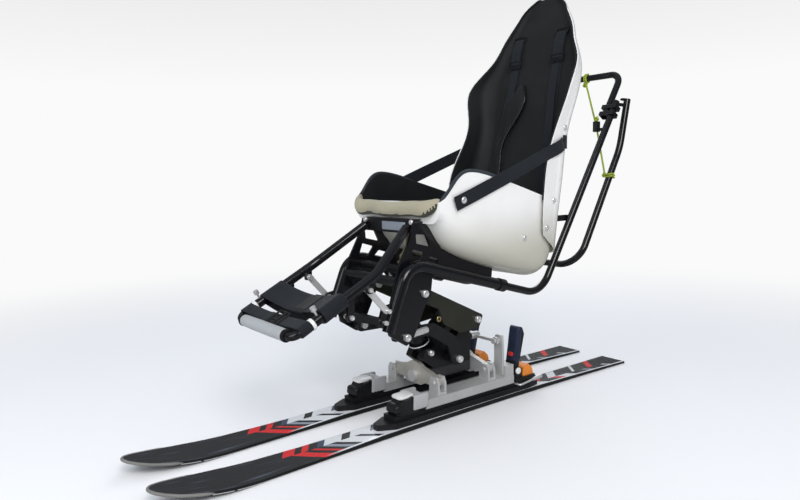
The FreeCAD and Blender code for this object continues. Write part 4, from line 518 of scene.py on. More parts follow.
# %% Dressing the solids
NODE_FINISH = {
    "ski": "ski_side", "riser_plate": "riser", "toe_piece": "binding", "sole_beam": "beam",
    "pivot_brackets": "machined", "upright": "machined", "heel_base": "binding", "heel_housing": "orange",
    "heel_lever": "cleat", "ski_brake": "bright", "front_arm": "arm", "rear_arm": "machined",
    "lean_shaft": "bright", "pivot_housing": "housing", "column": "black_metal", "column_bolts": "bright",
    "tie_rod": "bright", "upper_link": "link", "lower_link": "black_metal", "shock_body": "shock",
    "shock_rod": "bright", "seat_bucket": "shell", "seat_back": "shell", "shell_bolts": "bright",
    "main_tube": "tube", "side_plate": "tube", "crossbars": "black_metal", "lift_latch": "zinc",
    "frame_bolts": "bright", "rear_tube": "tube", "rear_loop": "tube", "handle": "tube",
    "rope_cleat": "cleat", "rear_brackets": "tube", "footrest_legs": "tube", "footrest_links": "machined",
    "footrest_bars": "tube", "footrest_slider": "tube", "foot_roll": "roll",
}


def dress(obj, finish_name):
    """Gives an object one finish in place of all it had."""
    obj.data.materials.clear()
    obj.data.materials.append(FINISHES[finish_name])
    return obj


def stem(node):
    """A node's name without its side."""
    for side in ("left_", "right_"):
        if node.startswith(side):
            return node[len(side):]
    return node


dressed = [dress(obj, NODE_FINISH[stem(name)]) for name, obj in NODES.items() if stem(name) in NODE_FINISH]
print("dressed solids:", len(dressed))

# %% [markdown]
# ## Lines and curves
# A modelled piece here is a grid of points: one number walks along the piece, the other across it.
# Pushing and pulling vertices by hand would also work, but a formula keeps both sides equal and can be
# changed in one place. These helpers give the lines that such a grid follows.

# %% Lines and curves
MM = 0.001
FINE_STEPS = 400


def unit(v):
    """Vectors divided by their lengths."""
    return v / np.maximum(np.linalg.norm(v, axis=-1, keepdims=True), 1e-12)


def lengths(points):
    """Distance walked along a line of points, starting at zero."""
    return np.concatenate([[0.0], np.cumsum(np.linalg.norm(np.diff(points, axis=0), axis=1))])


def spline(x, rows, at):
    """Natural cubic curve through rows of numbers: bending is nothing at both ends and even at each knot."""
    x, rows = np.asarray(x, float), np.asarray(rows, float)
    h = np.diff(x)
    slope = np.diff(rows, axis=0) / h[:, None]
    system = np.eye(len(x))
    k = np.arange(1, len(x) - 1)
    system[k, k - 1], system[k, k], system[k, k + 1] = h[:-1], 2 * (h[:-1] + h[1:]), h[1:]
    load = np.zeros_like(rows)
    load[1:-1] = 6 * np.diff(slope, axis=0)
    bend = np.linalg.solve(system, load)
    k = np.clip(np.searchsorted(x, at) - 1, 0, len(x) - 2)
    t, hk = (at - x[k])[:, None], h[k][:, None]
    cubic = t**3 * (bend[k + 1] - bend[k]) / (6 * hk)
    return rows[k] + t * (slope[k] - hk * (2 * bend[k] + bend[k + 1]) / 6) + t**2 * bend[k] / 2 + cubic


def smooth_path(points, count):
    """Cubic curve through a few points, read at even steps of length."""
    points = np.asarray(points, float)
    walk = lengths(points)
    fine = spline(walk, points, np.linspace(0, walk[-1], FINE_STEPS))
    even = lengths(fine)
    return np.column_stack([np.interp(np.linspace(0, even[-1], count), even, fine[:, i]) for i in range(3)])


def rounded_path(points, radii, step):
    """Straight runs joined by tangent arcs, with points about a step apart."""
    points = np.asarray(points, float)
    out = [points[:1]]
    for i in range(1, len(points) - 1):
        back, ahead = unit(points[i - 1] - points[i]), unit(points[i + 1] - points[i])
        half = math.acos(float(np.clip(back @ ahead, -1, 1))) / 2
        centre = points[i] + unit(back + ahead) * radii[i] / math.sin(half)
        start = points[i] + back * radii[i] / math.tan(half)
        end = points[i] + ahead * radii[i] / math.tan(half)
        sweep = math.pi - 2 * half
        t = np.linspace(0, 1, max(3, int(radii[i] * sweep / step)))[:, None]
        a, b = start - centre, end - centre
        out.append(centre + (np.sin((1 - t) * sweep) * a + np.sin(t * sweep) * b) / math.sin(sweep))
    out.append(points[-1:])
    rough = np.vstack(out)
    walk = lengths(rough)
    at = np.linspace(0, walk[-1], max(2, int(walk[-1] / step)))
    at = np.unique(np.concatenate([at, walk]))
    at = at[np.concatenate([[True], np.diff(at) > step * 0.05])]
    return np.column_stack([np.interp(at, walk, rough[:, i]) for i in range(3)])


def steps(length, edge, pitch):
    """Distances across a piece: close together over both edges, then about a pitch apart."""
    edge = min(edge, length * 0.3)
    near = edge * (1 - np.cos(np.linspace(0, np.pi / 2, 4)))
    middle = np.linspace(edge, length - edge, max(2, int((length - 2 * edge) / pitch)))[1:-1]
    return np.concatenate([near, middle, length - near[::-1]])


print("line helpers ready")

# %% [markdown]
# ## From a grid to a mesh
# A grid becomes a mesh when its neighbouring points are joined into faces. A modifier could thicken
# a single sheet, but closed skins weigh and shade like real pieces. Each mesh gets its own UV map
# in metres, for the weave.

# %% From a grid to a mesh
# Edges sharper than this many degrees stay crisp, on firm and on padded pieces
SHARP_FIRM = 35.0
SHARP_SOFT = 60.0
JOIN_WITHIN = 2e-6


def build(name, points, faces, uvs, finish_name, body, sharp):
    """Mesh from arrays. Points that meet are joined and faces turned outwards before it is kept."""
    mesh = bpy.data.meshes.new(name)
    mesh.from_pydata(np.asarray(points, float).tolist(), [], [list(map(int, f)) for f in faces])
    layer = mesh.uv_layers.new(name="metres")
    flat = np.concatenate([np.asarray(u, float).ravel() for u in uvs])
    layer.data.foreach_set("uv", flat.astype(np.float32))
    work = bmesh.new()
    work.from_mesh(mesh)
    bmesh.ops.remove_doubles(work, verts=work.verts, dist=JOIN_WITHIN)
    bmesh.ops.dissolve_degenerate(work, edges=work.edges, dist=1e-6)
    bmesh.ops.recalc_face_normals(work, faces=work.faces)
    work.to_mesh(mesh)
    work.free()
    mesh.shade_smooth()
    mesh.set_sharp_from_angle(angle=math.radians(sharp))
    obj = bpy.data.objects.new(name, mesh)
    bpy.context.collection.objects.link(obj)
    dress(obj, finish_name)
    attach(obj, body)
    return obj


def quads(rows, columns, wrap, start=0):
    """Corner numbers of the faces of a grid, and the same corners as row and column steps."""
    i, j = np.meshgrid(np.arange(rows - 1), np.arange(columns if wrap else columns - 1), indexing="ij")
    turns = ((0, 0), (0, 1), (1, 1), (1, 0))
    corners = np.stack([np.stack([i + a, j + b], -1) for a, b in turns], -2).reshape(-1, 4, 2)
    return corners[..., 0] * columns + corners[..., 1] % columns + start, corners


def skin(name, grids, finish_name, body, caps=True):
    """Closed surface from one or more grids; the rows run along it and the columns round it."""
    points, faces, uvs, start = [], [], [], 0
    for grid in grids if isinstance(grids, list) else [grids]:
        rows, columns, _ = grid.shape
        index, corners = quads(rows, columns, True, start)
        u = lengths(grid[:, 0])
        ring = np.vstack([grid[rows // 2], grid[rows // 2][:1]])
        v = lengths(ring)
        faces += index.tolist()
        uvs.append(np.stack([u[corners[..., 0]], v[corners[..., 1]]], -1))
        if caps:
            last = start + (rows - 1) * columns
            faces += [list(range(start, start + columns)), list(range(last, last + columns))]
            uvs.append(np.zeros((2 * columns, 2)))
        points.append(grid.reshape(-1, 3))
        start += rows * columns
    return build(name, np.vstack(points), faces, uvs, finish_name, body, SHARP_FIRM)


print("mesh helpers ready")

# %% [markdown]
# ## Pads and bands
# Foam and webbing have two faces that meet in a rounded edge. A solidify modifier would leave
# square rims, so the thickness is given point by point and dies out along the border.

# %% Pads and bands


def pad(name, middle, half, finish_name, body):
    """Two skins either side of a middle grid. Half the thickness is given at every point, and is nothing
    along the border, where both skins meet."""
    rows, columns, _ = middle.shape
    along, across = np.gradient(middle, axis=0), np.gradient(middle, axis=1)
    normal = unit(np.cross(along, across))
    index, corners = quads(rows, columns, False)
    u, v = lengths(middle[:, columns // 2]), lengths(middle[rows // 2])
    uv = np.stack([u[corners[..., 0]], v[corners[..., 1]]], -1)
    shift = normal * half[..., None]
    points = np.vstack([(middle + shift).reshape(-1, 3), (middle - shift).reshape(-1, 3)])
    faces = np.vstack([index, (index + rows * columns)[:, ::-1]])
    return build(name, points, faces.tolist(), [uv, uv[:, ::-1]], finish_name, body, SHARP_SOFT)


def rounded(u, v, edge_u, edge_v, thick):
    """Half thickness of a sheet with round edges: a quarter circle over the edge distance on all sides."""
    def rise(t, edge):
        near = np.clip(np.minimum(t - t[0], t[-1] - t) / edge, 0, 1)
        return np.sqrt(np.maximum(0, 1 - (1 - near) ** 2))
    return thick / 2 * rise(u, edge_u)[:, None] * rise(v, edge_v)[None, :]


def ribbon(name, path, across, width, thick, finish_name, body, edge=None):
    """Strap along a path: its width lies on the across direction, square to the path."""
    edge = edge or thick / 2
    walk = lengths(path)
    u = steps(walk[-1], edge, 6 * MM)
    line = np.column_stack([np.interp(u, walk, path[:, i]) for i in range(3)])
    side = np.broadcast_to(across, path.shape)
    side = np.column_stack([np.interp(u, walk, side[:, i]) for i in range(3)])
    tangent = unit(np.gradient(line, u, axis=0))
    side = unit(side - tangent * (side * tangent).sum(1, keepdims=True))
    v = steps(width, edge, width / 8)
    middle = line[:, None] + side[:, None] * (v - width / 2)[None, :, None]
    return pad(name, middle, rounded(u, v, edge, edge, thick), finish_name, body)


print("pad and band helpers ready")

# %% [markdown]
# ## Tubes and turned shapes
# Rods, rope and piping are rings set square to a path, and caps and screw heads are a profile
# turned round an axis. Curves with a bevel make tubes too, but not with a radius that changes at
# every ring, as rope needs.

# %% Tubes and turned shapes


def tube_grid(path, radius, sides=20, up=(0.0, 0.0, 1.0)):
    """Rings square to a path; radius is one number or one for each point."""
    path = np.asarray(path, float)
    tangent = unit(np.gradient(path, axis=0))
    side = unit(np.cross(tangent, up))
    rise = np.cross(side, tangent)
    turn = np.linspace(0, 2 * np.pi, sides, endpoint=False)
    radius = np.broadcast_to(radius, len(path))[:, None, None]
    ring = np.cos(turn)[None, :, None] * side[:, None] + np.sin(turn)[None, :, None] * rise[:, None]
    return path[:, None] + radius * ring


def lathe_grid(profile, start, axis, sides=28):
    """A profile of (distance along the axis, radius) turned round an axis that begins at start."""
    profile, start, axis = np.asarray(profile, float), np.asarray(start, float), unit(np.asarray(axis, float))
    other = np.array([0.0, 0.0, 1.0]) if abs(axis[2]) < 0.9 else np.array([0.0, 1.0, 0.0])
    side = unit(np.cross(axis, other))
    rise = np.cross(axis, side)
    turn = np.linspace(0, 2 * np.pi, sides, endpoint=False)
    ring = np.cos(turn)[:, None] * side + np.sin(turn)[:, None] * rise
    return start + profile[:, 0][:, None, None] * axis + profile[:, 1][:, None, None] * ring[None]


SIDES = {"left": 1.0, "right": -1.0}
print("tube and lathe helpers ready")

# %% [markdown]
# ## Stations of the seat
# The seat is two moulded shells. Their shape is kept as a few measured stations, the bucket's along y
# and the back's along z, and a smooth curve runs through each column. A sculpted mesh would follow the
# picture as well, but stations let liner, straps and pad all lie on the same surface.

# %% Stations of the seat
# Columns: y, height of the floor, height of the rim, half width at the rim, half width of the floor
BUCKET = np.array([
    (-90, 545, 600, 187, 140), (-64, 527, 626, 191, 128), (-34, 486, 662, 195, 118),
    (20, 452, 679, 199, 112), (100, 422, 663, 200, 108), (190, 395, 638, 199, 106),
    (270, 374, 615, 196, 104), (335, 366, 598, 187, 100), (372, 383, 590, 169, 88),
    (388, 420, 586, 150, 72)], float)
# Columns: z, y of the front edge, y of the rear, half width in front, half width behind
BACK = np.array([
    (420, 322, 398, 194, 121), (465, 306, 401, 198, 125), (520, 292, 404, 205, 130),
    (600, 292, 414, 208, 136), (680, 308, 430, 203, 138), (760, 344, 447, 192, 140),
    (840, 378, 466, 196, 142), (900, 390, 479, 212, 142), (950, 406, 490, 218, 138),
    (1000, 444, 502, 203, 130), (1050, 478, 514, 172, 116), (1110, 500, 530, 144, 96),
    (1170, 522, 546, 108, 70), (1215, 540, 558, 74, 44), (1238, 551, 565, 34, 18)], float)
print("stations:", len(BUCKET), "along the bucket,", len(BACK), "up the back")

# %% [markdown]
# ## Sections of the shells
# Each section is a straight wall, a curve and a flat floor, walked from rim to rim, just as the
# mould was drawn. A scaled circle would be shorter to write and would miss the flat floor.

# %% Sections of the shells


def arc_points(a, m, b, t):
    """Circle through three flat points, read at t from 0 to 1; every argument holds one row per station."""
    ab, am = b - a, m - a
    d = 2 * (am[:, 0] * ab[:, 1] - am[:, 1] * ab[:, 0])
    am2, ab2 = (am**2).sum(1), (ab**2).sum(1)
    shift = np.column_stack([ab[:, 1] * am2 - am[:, 1] * ab2, am[:, 0] * ab2 - ab[:, 0] * am2])
    centre = a + shift / d[:, None]
    start = np.arctan2(a[:, 1] - centre[:, 1], a[:, 0] - centre[:, 0])
    full = np.arctan2(b[:, 1] - centre[:, 1], b[:, 0] - centre[:, 0]) - start
    full = (full + np.pi) % (2 * np.pi) - np.pi
    radius = np.linalg.norm(a - centre, axis=1)
    angle = start[:, None] + full[:, None] * t[None]
    return centre[:, None] + radius[:, None, None] * np.stack([np.cos(angle), np.sin(angle)], -1)


def half_section(edge, bend, mid, floor, runs):
    """From the rim down a straight wall, round the curve and along half the floor to the middle, and the
    same mirrored; runs holds the shares walked on the three."""
    wall = edge[:, None] + (bend - edge)[:, None] * runs[0][None, :, None]
    curve = arc_points(bend, mid, floor, runs[1])
    centre = floor * np.array([0.0, 1.0])
    flat = floor[:, None] + (centre - floor)[:, None] * runs[2][None, :, None]
    half = np.concatenate([wall[:, :-1], curve[:, :-1], flat], axis=1)
    return np.concatenate([half, half[:, -2::-1] * np.array([-1.0, 1.0])], axis=1)


# Shares walked down the wall, round the curve and along half the floor; close together at the rim
WALK = (np.concatenate([[0, 0.02, 0.05], np.linspace(0.1, 1, 8)]), np.linspace(0, 1, 13),
    np.linspace(0, 1, 7))


def bucket_rows(y, inset, over=0.0):
    """Sections across the bucket as (x, y, z) in millimetres, set in from its skin."""
    _, floor, rim, rim_half, floor_half = spline(BUCKET[:, 0], BUCKET, y).T
    floor, rim_half, floor_half = floor + inset, rim_half - inset, floor_half - 0.4 * inset
    rise = np.minimum(78, (rim - floor) * 0.55)
    bend = rim_half - (rim - floor) * 0.03
    slope = (rim_half - bend) / (rim - floor - rise)
    flat = half_section(
        np.column_stack([rim_half + slope * over, rim + over]), np.column_stack([bend, floor + rise]),
        np.column_stack([floor_half + (bend - floor_half) * 0.72, floor + rise * 0.28]),
        np.column_stack([floor_half, floor]), WALK)
    return np.stack([flat[..., 0], np.broadcast_to(y[:, None], flat.shape[:2]), flat[..., 1]], -1)


def back_rows(z, inset, ahead=0.0):
    """Sections up the back as (x, y, z) in millimetres, set in from its skin."""
    _, front, rear, front_half, rear_half = spline(BACK[:, 0], BACK, z).T
    rear, front_half, rear_half = rear - inset, front_half - inset, rear_half - 0.5 * inset
    depth = rear - front
    side = front_half - (front_half - rear_half) * 0.12
    flat = half_section(
        np.column_stack([front_half, front - ahead]), np.column_stack([side, front + depth * 0.45]),
        np.column_stack([rear_half + (side - rear_half) * 0.72, rear - depth * 0.17]),
        np.column_stack([rear_half, rear]), WALK)
    return np.stack([flat[..., 0], flat[..., 1], np.broadcast_to(z[:, None], flat.shape[:2])], -1)


print("points across a section:", bucket_rows(np.array([0.0]), 0.0).shape[1])

# %% [markdown]
# ## Seat liners
# Each shell is lined with thin black foam. A shell modifier could thicken a copy of the seat, but a
# liner that follows the same stations as the moulding keeps an even gap. Its edges are rounded, as
# foam is when it is cut.

# %% Seat liners
LINER_THICK = 4.8
LINER_EDGE = 3.0
LINER_OVER_RIM = 1.5


def make_bucket_liner():
    """Foam across the bucket, closed behind by rows that shrink to the middle of the rim."""
    y = -86 + steps(466, 4, 12)
    rows = bucket_rows(y, 7.2, LINER_OVER_RIM)
    hub = np.array([0.0, rows[-1, 0, 1], rows[-1, 0, 2]])
    shrink = np.array([0.9, 0.7, 0.45, 0.2, 0.02])[:, None, None]
    rows = np.concatenate([rows, hub + (rows[-1] - hub) * shrink]) * MM
    edge = LINER_EDGE * MM
    half = rounded(np.concatenate([y, [1e4]]) * MM, lengths(rows[20]), edge, edge, LINER_THICK * MM)[:-1]
    half = np.concatenate([half, np.repeat(half[-1:], len(shrink), axis=0)])
    return pad("bucket_liner", rows, half, "liner", "seat_frame")


def make_back_liner():
    """Foam up the back, rounded along its front edges and its foot."""
    z = 594 + steps(1234.5 - 594, 4, 9)
    rows = back_rows(z, 7.0, LINER_OVER_RIM) * MM
    edge = LINER_EDGE * MM
    half = rounded(z * MM, lengths(rows[30]), edge, edge, LINER_THICK * MM)
    return pad("back_liner", rows, half, "liner", "seat_frame")


bucket_liner = make_bucket_liner()
back_liner = make_back_liner()
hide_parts("seat_liner")
for liner in (bucket_liner, back_liner):
    liner.data.materials.append(FINISHES["foam"])
print("liners:", [len(o.data.polygons) for o in (bucket_liner, back_liner)])

# %% [markdown]
# ## Front roll
# A padded roll softens the front edge of the seat. A tube could be scaled to fit, but stuffed cloth
# swells between its seam and its ends, so a cloth simulation with air inside gives the last shape.

# %% Front roll
# Columns: x, y, height, half height, half depth
LIP = np.array([
    (-187, -72, 611, 13, 9), (-172, -91, 597, 19, 13), (-110, -104, 584, 23, 15), (0, -110, 581, 23, 16),
    (110, -104, 584, 23, 15), (170, -92, 594, 17, 13), (181, -82, 602, 12, 10)], float)
SEAM = -0.62
BLOW_FRAMES = 20
print("roll stations:", len(LIP), "seam at", SEAM, "radians")

# %% [markdown]
# ## Blowing up a skin
# Cloth with air inside swells most where nothing holds it. The simulation runs for a few frames
# with the seam and the rear pinned, and then the move of every point is capped, so that the roll
# keeps to the size of its solid.

# %% Blowing up a skin


def puff(obj, voxel, pressure, cap, pinned):
    """Remeshes a closed skin, lets air push it out for some frames and caps how far each point moved."""
    remesh = obj.modifiers.new("remesh", "REMESH")
    remesh.mode, remesh.voxel_size = "VOXEL", voxel
    graph = bpy.context.evaluated_depsgraph_get()
    obj.data = bpy.data.meshes.new_from_object(obj.evaluated_get(graph))
    obj.modifiers.clear()
    before = read_points(obj.data)
    group = obj.vertex_groups.new(name="pin")
    group.add(np.flatnonzero(pinned(before)).tolist(), 1.0, "REPLACE")
    cloth = obj.modifiers.new("cloth", "CLOTH")
    settings = cloth.settings
    settings.use_pressure, settings.uniform_pressure_force = True, pressure
    settings.vertex_group_mass = "pin"
    settings.effector_weights.gravity = 0.0
    settings.tension_stiffness = settings.compression_stiffness = 12.0
    cloth.collision_settings.use_collision = False
    for frame_number in range(1, BLOW_FRAMES + 1):
        scene.frame_set(frame_number)
    graph = bpy.context.evaluated_depsgraph_get()
    after = read_points(obj.evaluated_get(graph).data)
    move = after - before
    size = np.linalg.norm(move, axis=1, keepdims=True)
    obj.modifiers.clear()
    capped = before + move * np.minimum(1, cap / np.maximum(size, 1e-9))
    obj.data.vertices.foreach_set("co", capped.astype(np.float32).ravel())
    obj.data.shade_smooth()
    scene.frame_set(1)
    return obj


def read_points(mesh):
    """Places of all points of a mesh, one row each."""
    points = np.empty(len(mesh.vertices) * 3, np.float32)
    mesh.vertices.foreach_get("co", points)
    return points.reshape(-1, 3).astype(float)


def lip_frame(points):
    """Angle round the roll for points near its skin: nothing in front, and falling below it."""
    line = spline(LIP[:, 0], LIP, np.clip(points[:, 0] / MM, *LIP[[0, -1], 0])) * MM
    return np.arctan2((points[:, 2] - line[:, 2]) / line[:, 3], -(points[:, 1] - line[:, 1]) / line[:, 4])


print("cloth helper ready")

# %% [markdown]
# ## The roll and its seam
# The roll is a pale cover above and a dark one below, sewn together along a seam; the dark finish below
# the seam is partly the cloth's own colour and partly painted shade of the underside. Two pieces could
# be joined, but one skin with a groove and a second finish below the seam has no gap.

# %% The roll and its seam


def make_lip():
    """Ellipses along a curved line, closed by ends that shrink like a dome."""
    first, last = LIP[0, 0] - 3, LIP[-1, 0] + 3
    x = first + steps(last - first, 9, 7)
    line = spline(LIP[:, 0], LIP, x)
    dome = np.sqrt(np.clip(np.minimum(x - first + 0.2, last + 0.2 - x) / 9, 0.02, 1))
    turn = np.linspace(0, 2 * np.pi, 44, endpoint=False)
    round_y, round_z = -np.cos(turn), np.sin(turn)
    grid = np.stack([
        np.broadcast_to(line[:, :1], (len(x), 44)),
        line[:, 1:2] + (line[:, 4] * dome)[:, None] * round_y,
        line[:, 2:3] + (line[:, 3] * dome)[:, None] * round_z], -1)
    lip = skin("front_roll", grid * MM, "lip", "seat_frame")
    puff(lip, 5 * MM, 4.0, 5 * MM, lambda p: (np.abs(lip_frame(p) - SEAM) < 0.14) | (p[:, 1] > -0.074))
    points = read_points(lip.data)
    angle = lip_frame(points)
    groove = np.exp(-((angle - SEAM) / 0.09) ** 2) * 1.6 * MM
    points[:, 1] += groove
    lip.data.vertices.foreach_set("co", points.astype(np.float32).ravel())
    corner = np.empty(len(lip.data.loops), np.int32)
    lip.data.loops.foreach_get("vertex_index", corner)
    layer = lip.data.uv_layers.get("metres") or lip.data.uv_layers.new(name="metres")
    uv = np.column_stack([points[corner, 0], angle[corner] * 20 * MM])
    layer.data.foreach_set("uv", uv.astype(np.float32).ravel())
    # dark finish below the seam: the cloth's own darker colour plus painted shade of the underside
    lip.data.materials.append(FINISHES["lip_dark_cloth_and_shade"])
    first = np.empty(len(lip.data.polygons), np.int32)
    lip.data.polygons.foreach_get("loop_start", first)
    under = angle[corner[first]] < SEAM
    lip.data.polygons.foreach_set("material_index", under.astype(np.int32))
    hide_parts("front_lip")
    return lip


lip = make_lip()
print("front roll faces:", len(lip.data.polygons))

# %% [markdown]
# ## Rim edging
# A thin fold of foam covers both front rims of the bucket. An extruded edge would be square, so it
# is a tube along the rim that thins out where it meets the back.

# %% Rim edging


def make_rim_edging():
    """A fold of foam along both front rims of the bucket; it thins out where it meets the back."""
    y = np.linspace(-84, 150, 70)
    rows = bucket_rows(y, 2.0, 1.0)
    swell = 4.6 * np.sqrt(np.clip(np.minimum(y + 85, (151 - y) / 6) / 8, 0.03, 1))
    grids = [tube_grid(rows[:, column] * MM, swell * MM, 14) for column in (0, -1)]
    edging = skin("rim_edging", grids, "foam", "seat_frame")
    return edging


edging = make_rim_edging()
print("edging faces:", len(edging.data.polygons))

# %% [markdown]
# ## Straps
# Webbing is a flat band, so each strap is a grid between two skins, wide across and thin through. A curve
# with a bevel would twist where it turns, while a band knows which way its width lies at every step.

# %% Straps
# A side strap's middle line on the left: x, y and z in millimetres, from its bolt to its slot
STRAP_LINE = np.array([
    (198.4, -46, 595.2), (200.2, -19, 605), (202.6, 60, 633.8), (202.6, 200, 684.8), (198.4, 336, 734.4),
    (188.0, 398, 757.5), (176.0, 412, 764)], float)


def strap(name, path, across, width, thick, node=None, body="seat_frame"):
    """A ribbon of webbing; if a node is named, that node of the model is hidden."""
    band = ribbon(name, path, across, width, thick, "webbing", body)
    if node:
        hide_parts(node)
    return band


def make_side_straps():
    """From the bolt on the bucket up to the slot in the back, flat against the shells."""
    slope = unit(np.array([0.0, -(759 - 596), 404 + 44]))
    for side, sign in SIDES.items():
        path = smooth_path(STRAP_LINE * np.array([sign, 1, 1]) * MM, 90)
        strap(f"{side}_side_strap", path, slope, 38 * MM, 2.4 * MM, node="side_straps")


make_side_straps()
print("side strap length:", round(float(lengths(STRAP_LINE)[-1])), "mm")

# %% [markdown]
# ## Folds outside the back
# Each side strap goes through a slot in the back and lies flat on the outside. It could end inside
# the shell unseen, but from behind the fold is what holds the strap.

# %% Folds outside the back


def make_strap_folds():
    """Where each strap leaves its slot, a flat fold of webbing lies round the outside of the shell."""
    section = back_rows(np.array([762.0, 764.0]), -2.2)[0]
    for side, sign in SIDES.items():
        near = section[(section[:, 0] > 0) & (section[:, 1] > 398) & (section[:, 1] < 428)]
        path = near[np.argsort(near[:, 1])] * np.array([sign, 1, 1])
        strap(f"{side}_strap_fold", smooth_path(path, 24) * MM, (0, 0, 1.0), 40 * MM, 2.2 * MM)


make_strap_folds()
print("folds made")

# %% [markdown]
# ## Shoulder straps
# Two straps run down the back. Above their slides they lie double, and a loose tail hangs from each
# slide. All follow the face of the liner at a small lift, so that none cuts into another.

# %% Shoulder straps
LINER_FACE = 9.4
X_AXIS = np.array([1.0, 0.0, 0.0])


def back_line(x, z, lift):
    """Points on the face of the back's liner at one distance from the middle, lifted off it."""
    rear = spline(BACK[:, 0], BACK, z)[:, 2]
    return np.column_stack([np.broadcast_to(x, z.shape), rear - LINER_FACE - lift, z]) * MM


def slide_bars(name, centre, up, width, height, body, finish_name="tube", bars=3, edge=2.1):
    """A strap slide: a rounded frame with cross bars, each a bent rod; its width lies along x."""
    across, centre = X_AXIS, np.asarray(centre, float)
    loop = [(-1, -1), (1, -1), (1, 1), (-1, 1), (-1, -1)]
    corners = np.array([centre + across * a * width / 2 + up * b * height / 2 for a, b in loop])
    middle = (corners[0] + corners[1]) / 2
    bends = [0, *[4 * MM] * 4, 0]
    path = rounded_path(np.vstack([[middle], corners[1:], [middle]]), bends, 1.5 * MM)
    normal = np.cross(across, up)
    grids = [tube_grid(path, edge * MM, 10, normal)]
    for k in range(1, bars - 1):
        at = centre + up * height * (k / (bars - 1) - 0.5)
        bar = np.linspace(at - across * width / 2, at + across * width / 2, 8)
        grids.append(tube_grid(bar, edge * 0.8 * MM, 10, normal))
    return skin(name, grids, finish_name, body)


def make_harness():
    """Two shoulder straps down the back, doubled above their slides, with a flat end and a loose tail."""
    for side, sign in SIDES.items():
        z = np.linspace(612, 1118, 90)
        drift = 86 + 10 * np.clip((1000 - z) / 300, 0, 1)
        line = back_line(sign * drift, z, 1.6 + 1.2 * np.exp(-((z - 1030) / 25) ** 2))
        strap(f"{side}_shoulder_strap", line, X_AXIS, 38 * MM, 2.4 * MM, node="harness")
        z = np.linspace(1022, 1112, 30)
        line = back_line(sign * 86, z, 5.5 + 4 * np.sin(np.pi * (z - 1022) / 90))
        strap(f"{side}_strap_double", line, X_AXIS, 38 * MM, 2.4 * MM)
        z = np.linspace(700, 1012, 60)
        hang = 4.6 + 5 * np.sin(np.pi * np.clip((z - 700) / 312, 0, 1)) ** 2
        line = back_line(sign * (90 + 6 * np.sin((z - 700) / 60)), z, hang)
        strap(f"{side}_strap_tail", line, X_AXIS, 30 * MM, 2.2 * MM)
        for label, at, lift, high in (("slide", 1028, 8.5, 24), ("top_loop", 1112, 5.0, 16)):
            here = back_line(sign * 86, np.array([at - 1.0, at + 1.0]), lift)
            up = unit(here[1] - here[0])
            slide_bars(f"{side}_{label}", here.mean(0), up, 47 * MM, high * MM, "seat_frame")


make_harness()

# %% [markdown]
# ## Lumbar pad
# A loose pad with a shiny piped edge hangs in the lower back. It could be blown
# up like the front roll, but it hangs slack, so its grid is stretched between a straight outer border and
# a curved inner one. The thickness is a product of two domes, and the piping follows the inner border.

# %% Lumbar pad
# The piping of the pad as seen from the front: x and z in millimetres
PIPING = np.array([(-80, 640), (-83, 701), (-78, 782), (-43, 845), (-18, 906), (-35, 958)], float)


def make_lumbar_pad():
    """A slack pad between its straight outer border and the curved piping; both borders meet at the top."""
    t = steps(1.0, 0.04, 0.035)
    z = 640 + 318 * t
    inner = spline(PIPING[:, 1], PIPING, z)[:, 0]
    outer = np.interp(z, (640, 900, 958), (-134, -104, -44))
    share = steps(1.0, 0.08, 0.09)
    rear = spline(BACK[:, 0], BACK, z)[:, 2] - LINER_FACE
    x = outer[:, None] + (inner - outer)[:, None] * share
    half = rounded(t, share, 0.06, 0.16, 11.0)
    wave = 1.2 * np.sin(z / 17)[:, None] * np.sin(share * 9)[None]
    grid = np.stack([x, (rear - 7)[:, None] - wave, np.broadcast_to(z[:, None], x.shape)], -1)
    body = pad("lumbar_pad", grid * MM, half * MM, "liner", "seat_frame")
    line = np.column_stack([inner, rear - 8 - 5 * np.sin(np.pi * t), z])[1:] * MM
    skin("lumbar_piping", tube_grid(smooth_path(line, 90), 3.0 * MM, 14), "tube", "seat_frame")
    return body


lumbar = make_lumbar_pad()
print("lumbar pad faces:", len(lumbar.data.polygons))

# %% [markdown]
# ## Footrest straps
# Two bands go round both legs and close on themselves with hook and loop. The path is four arcs that
# leave the tubes at a droop angle; it starts under its own end, so the overlap is real.

# %% Footrest straps
# The foot bar's middle, the direction up along the legs, the direction square to it, and a leg's x
FOOT_BAR = np.array([0.0, -495.0, 311.0])
LEG_RUN = unit(np.array([0.0, -495.0 + 265.0, 311.0 - 430.0]))
LEG_UP = np.array([0.0, LEG_RUN[2], -LEG_RUN[1]])
LEG_X = 147.0
CALF_RADIUS, CALF_DROOP, CALF_SPAN = 13.0, 18.0, (153.0, 82.0)


def strap_ring(radius, droop, start):
    """Flat path (x, height) round both legs: over the top from start, round, back below and over again."""
    sine, cosine = math.sin(math.radians(droop)), math.cos(math.radians(droop))
    high, low, level = LEG_X - radius * sine, LEG_X + radius * sine, radius * cosine
    sink = math.tan(math.radians(droop) / 2)
    bends = [
        ((high, level), (0, level - high * sink), (-high, level)),
        ((-low, -level), (0, -level - low * sink), (low, -level))]
    top, under = [arc_points(*[np.array([p], float) for p in bend], np.linspace(0, 1, 70))[0]
        for bend in bends]
    half_turn = np.radians(np.linspace(90, 270, 21)[:, None] - np.array([droop, -droop - 180]))
    far, near = [
        np.column_stack([x + radius * np.cos(turn), radius * np.sin(turn)])
        for x, turn in zip((-LEG_X, LEG_X), half_turn.T)]
    first = top[top[:, 0] < start[0]]
    last = top[top[:, 0] > start[1]]
    return np.vstack([first, far[1:], under[1:], near[1:], last[1:]])


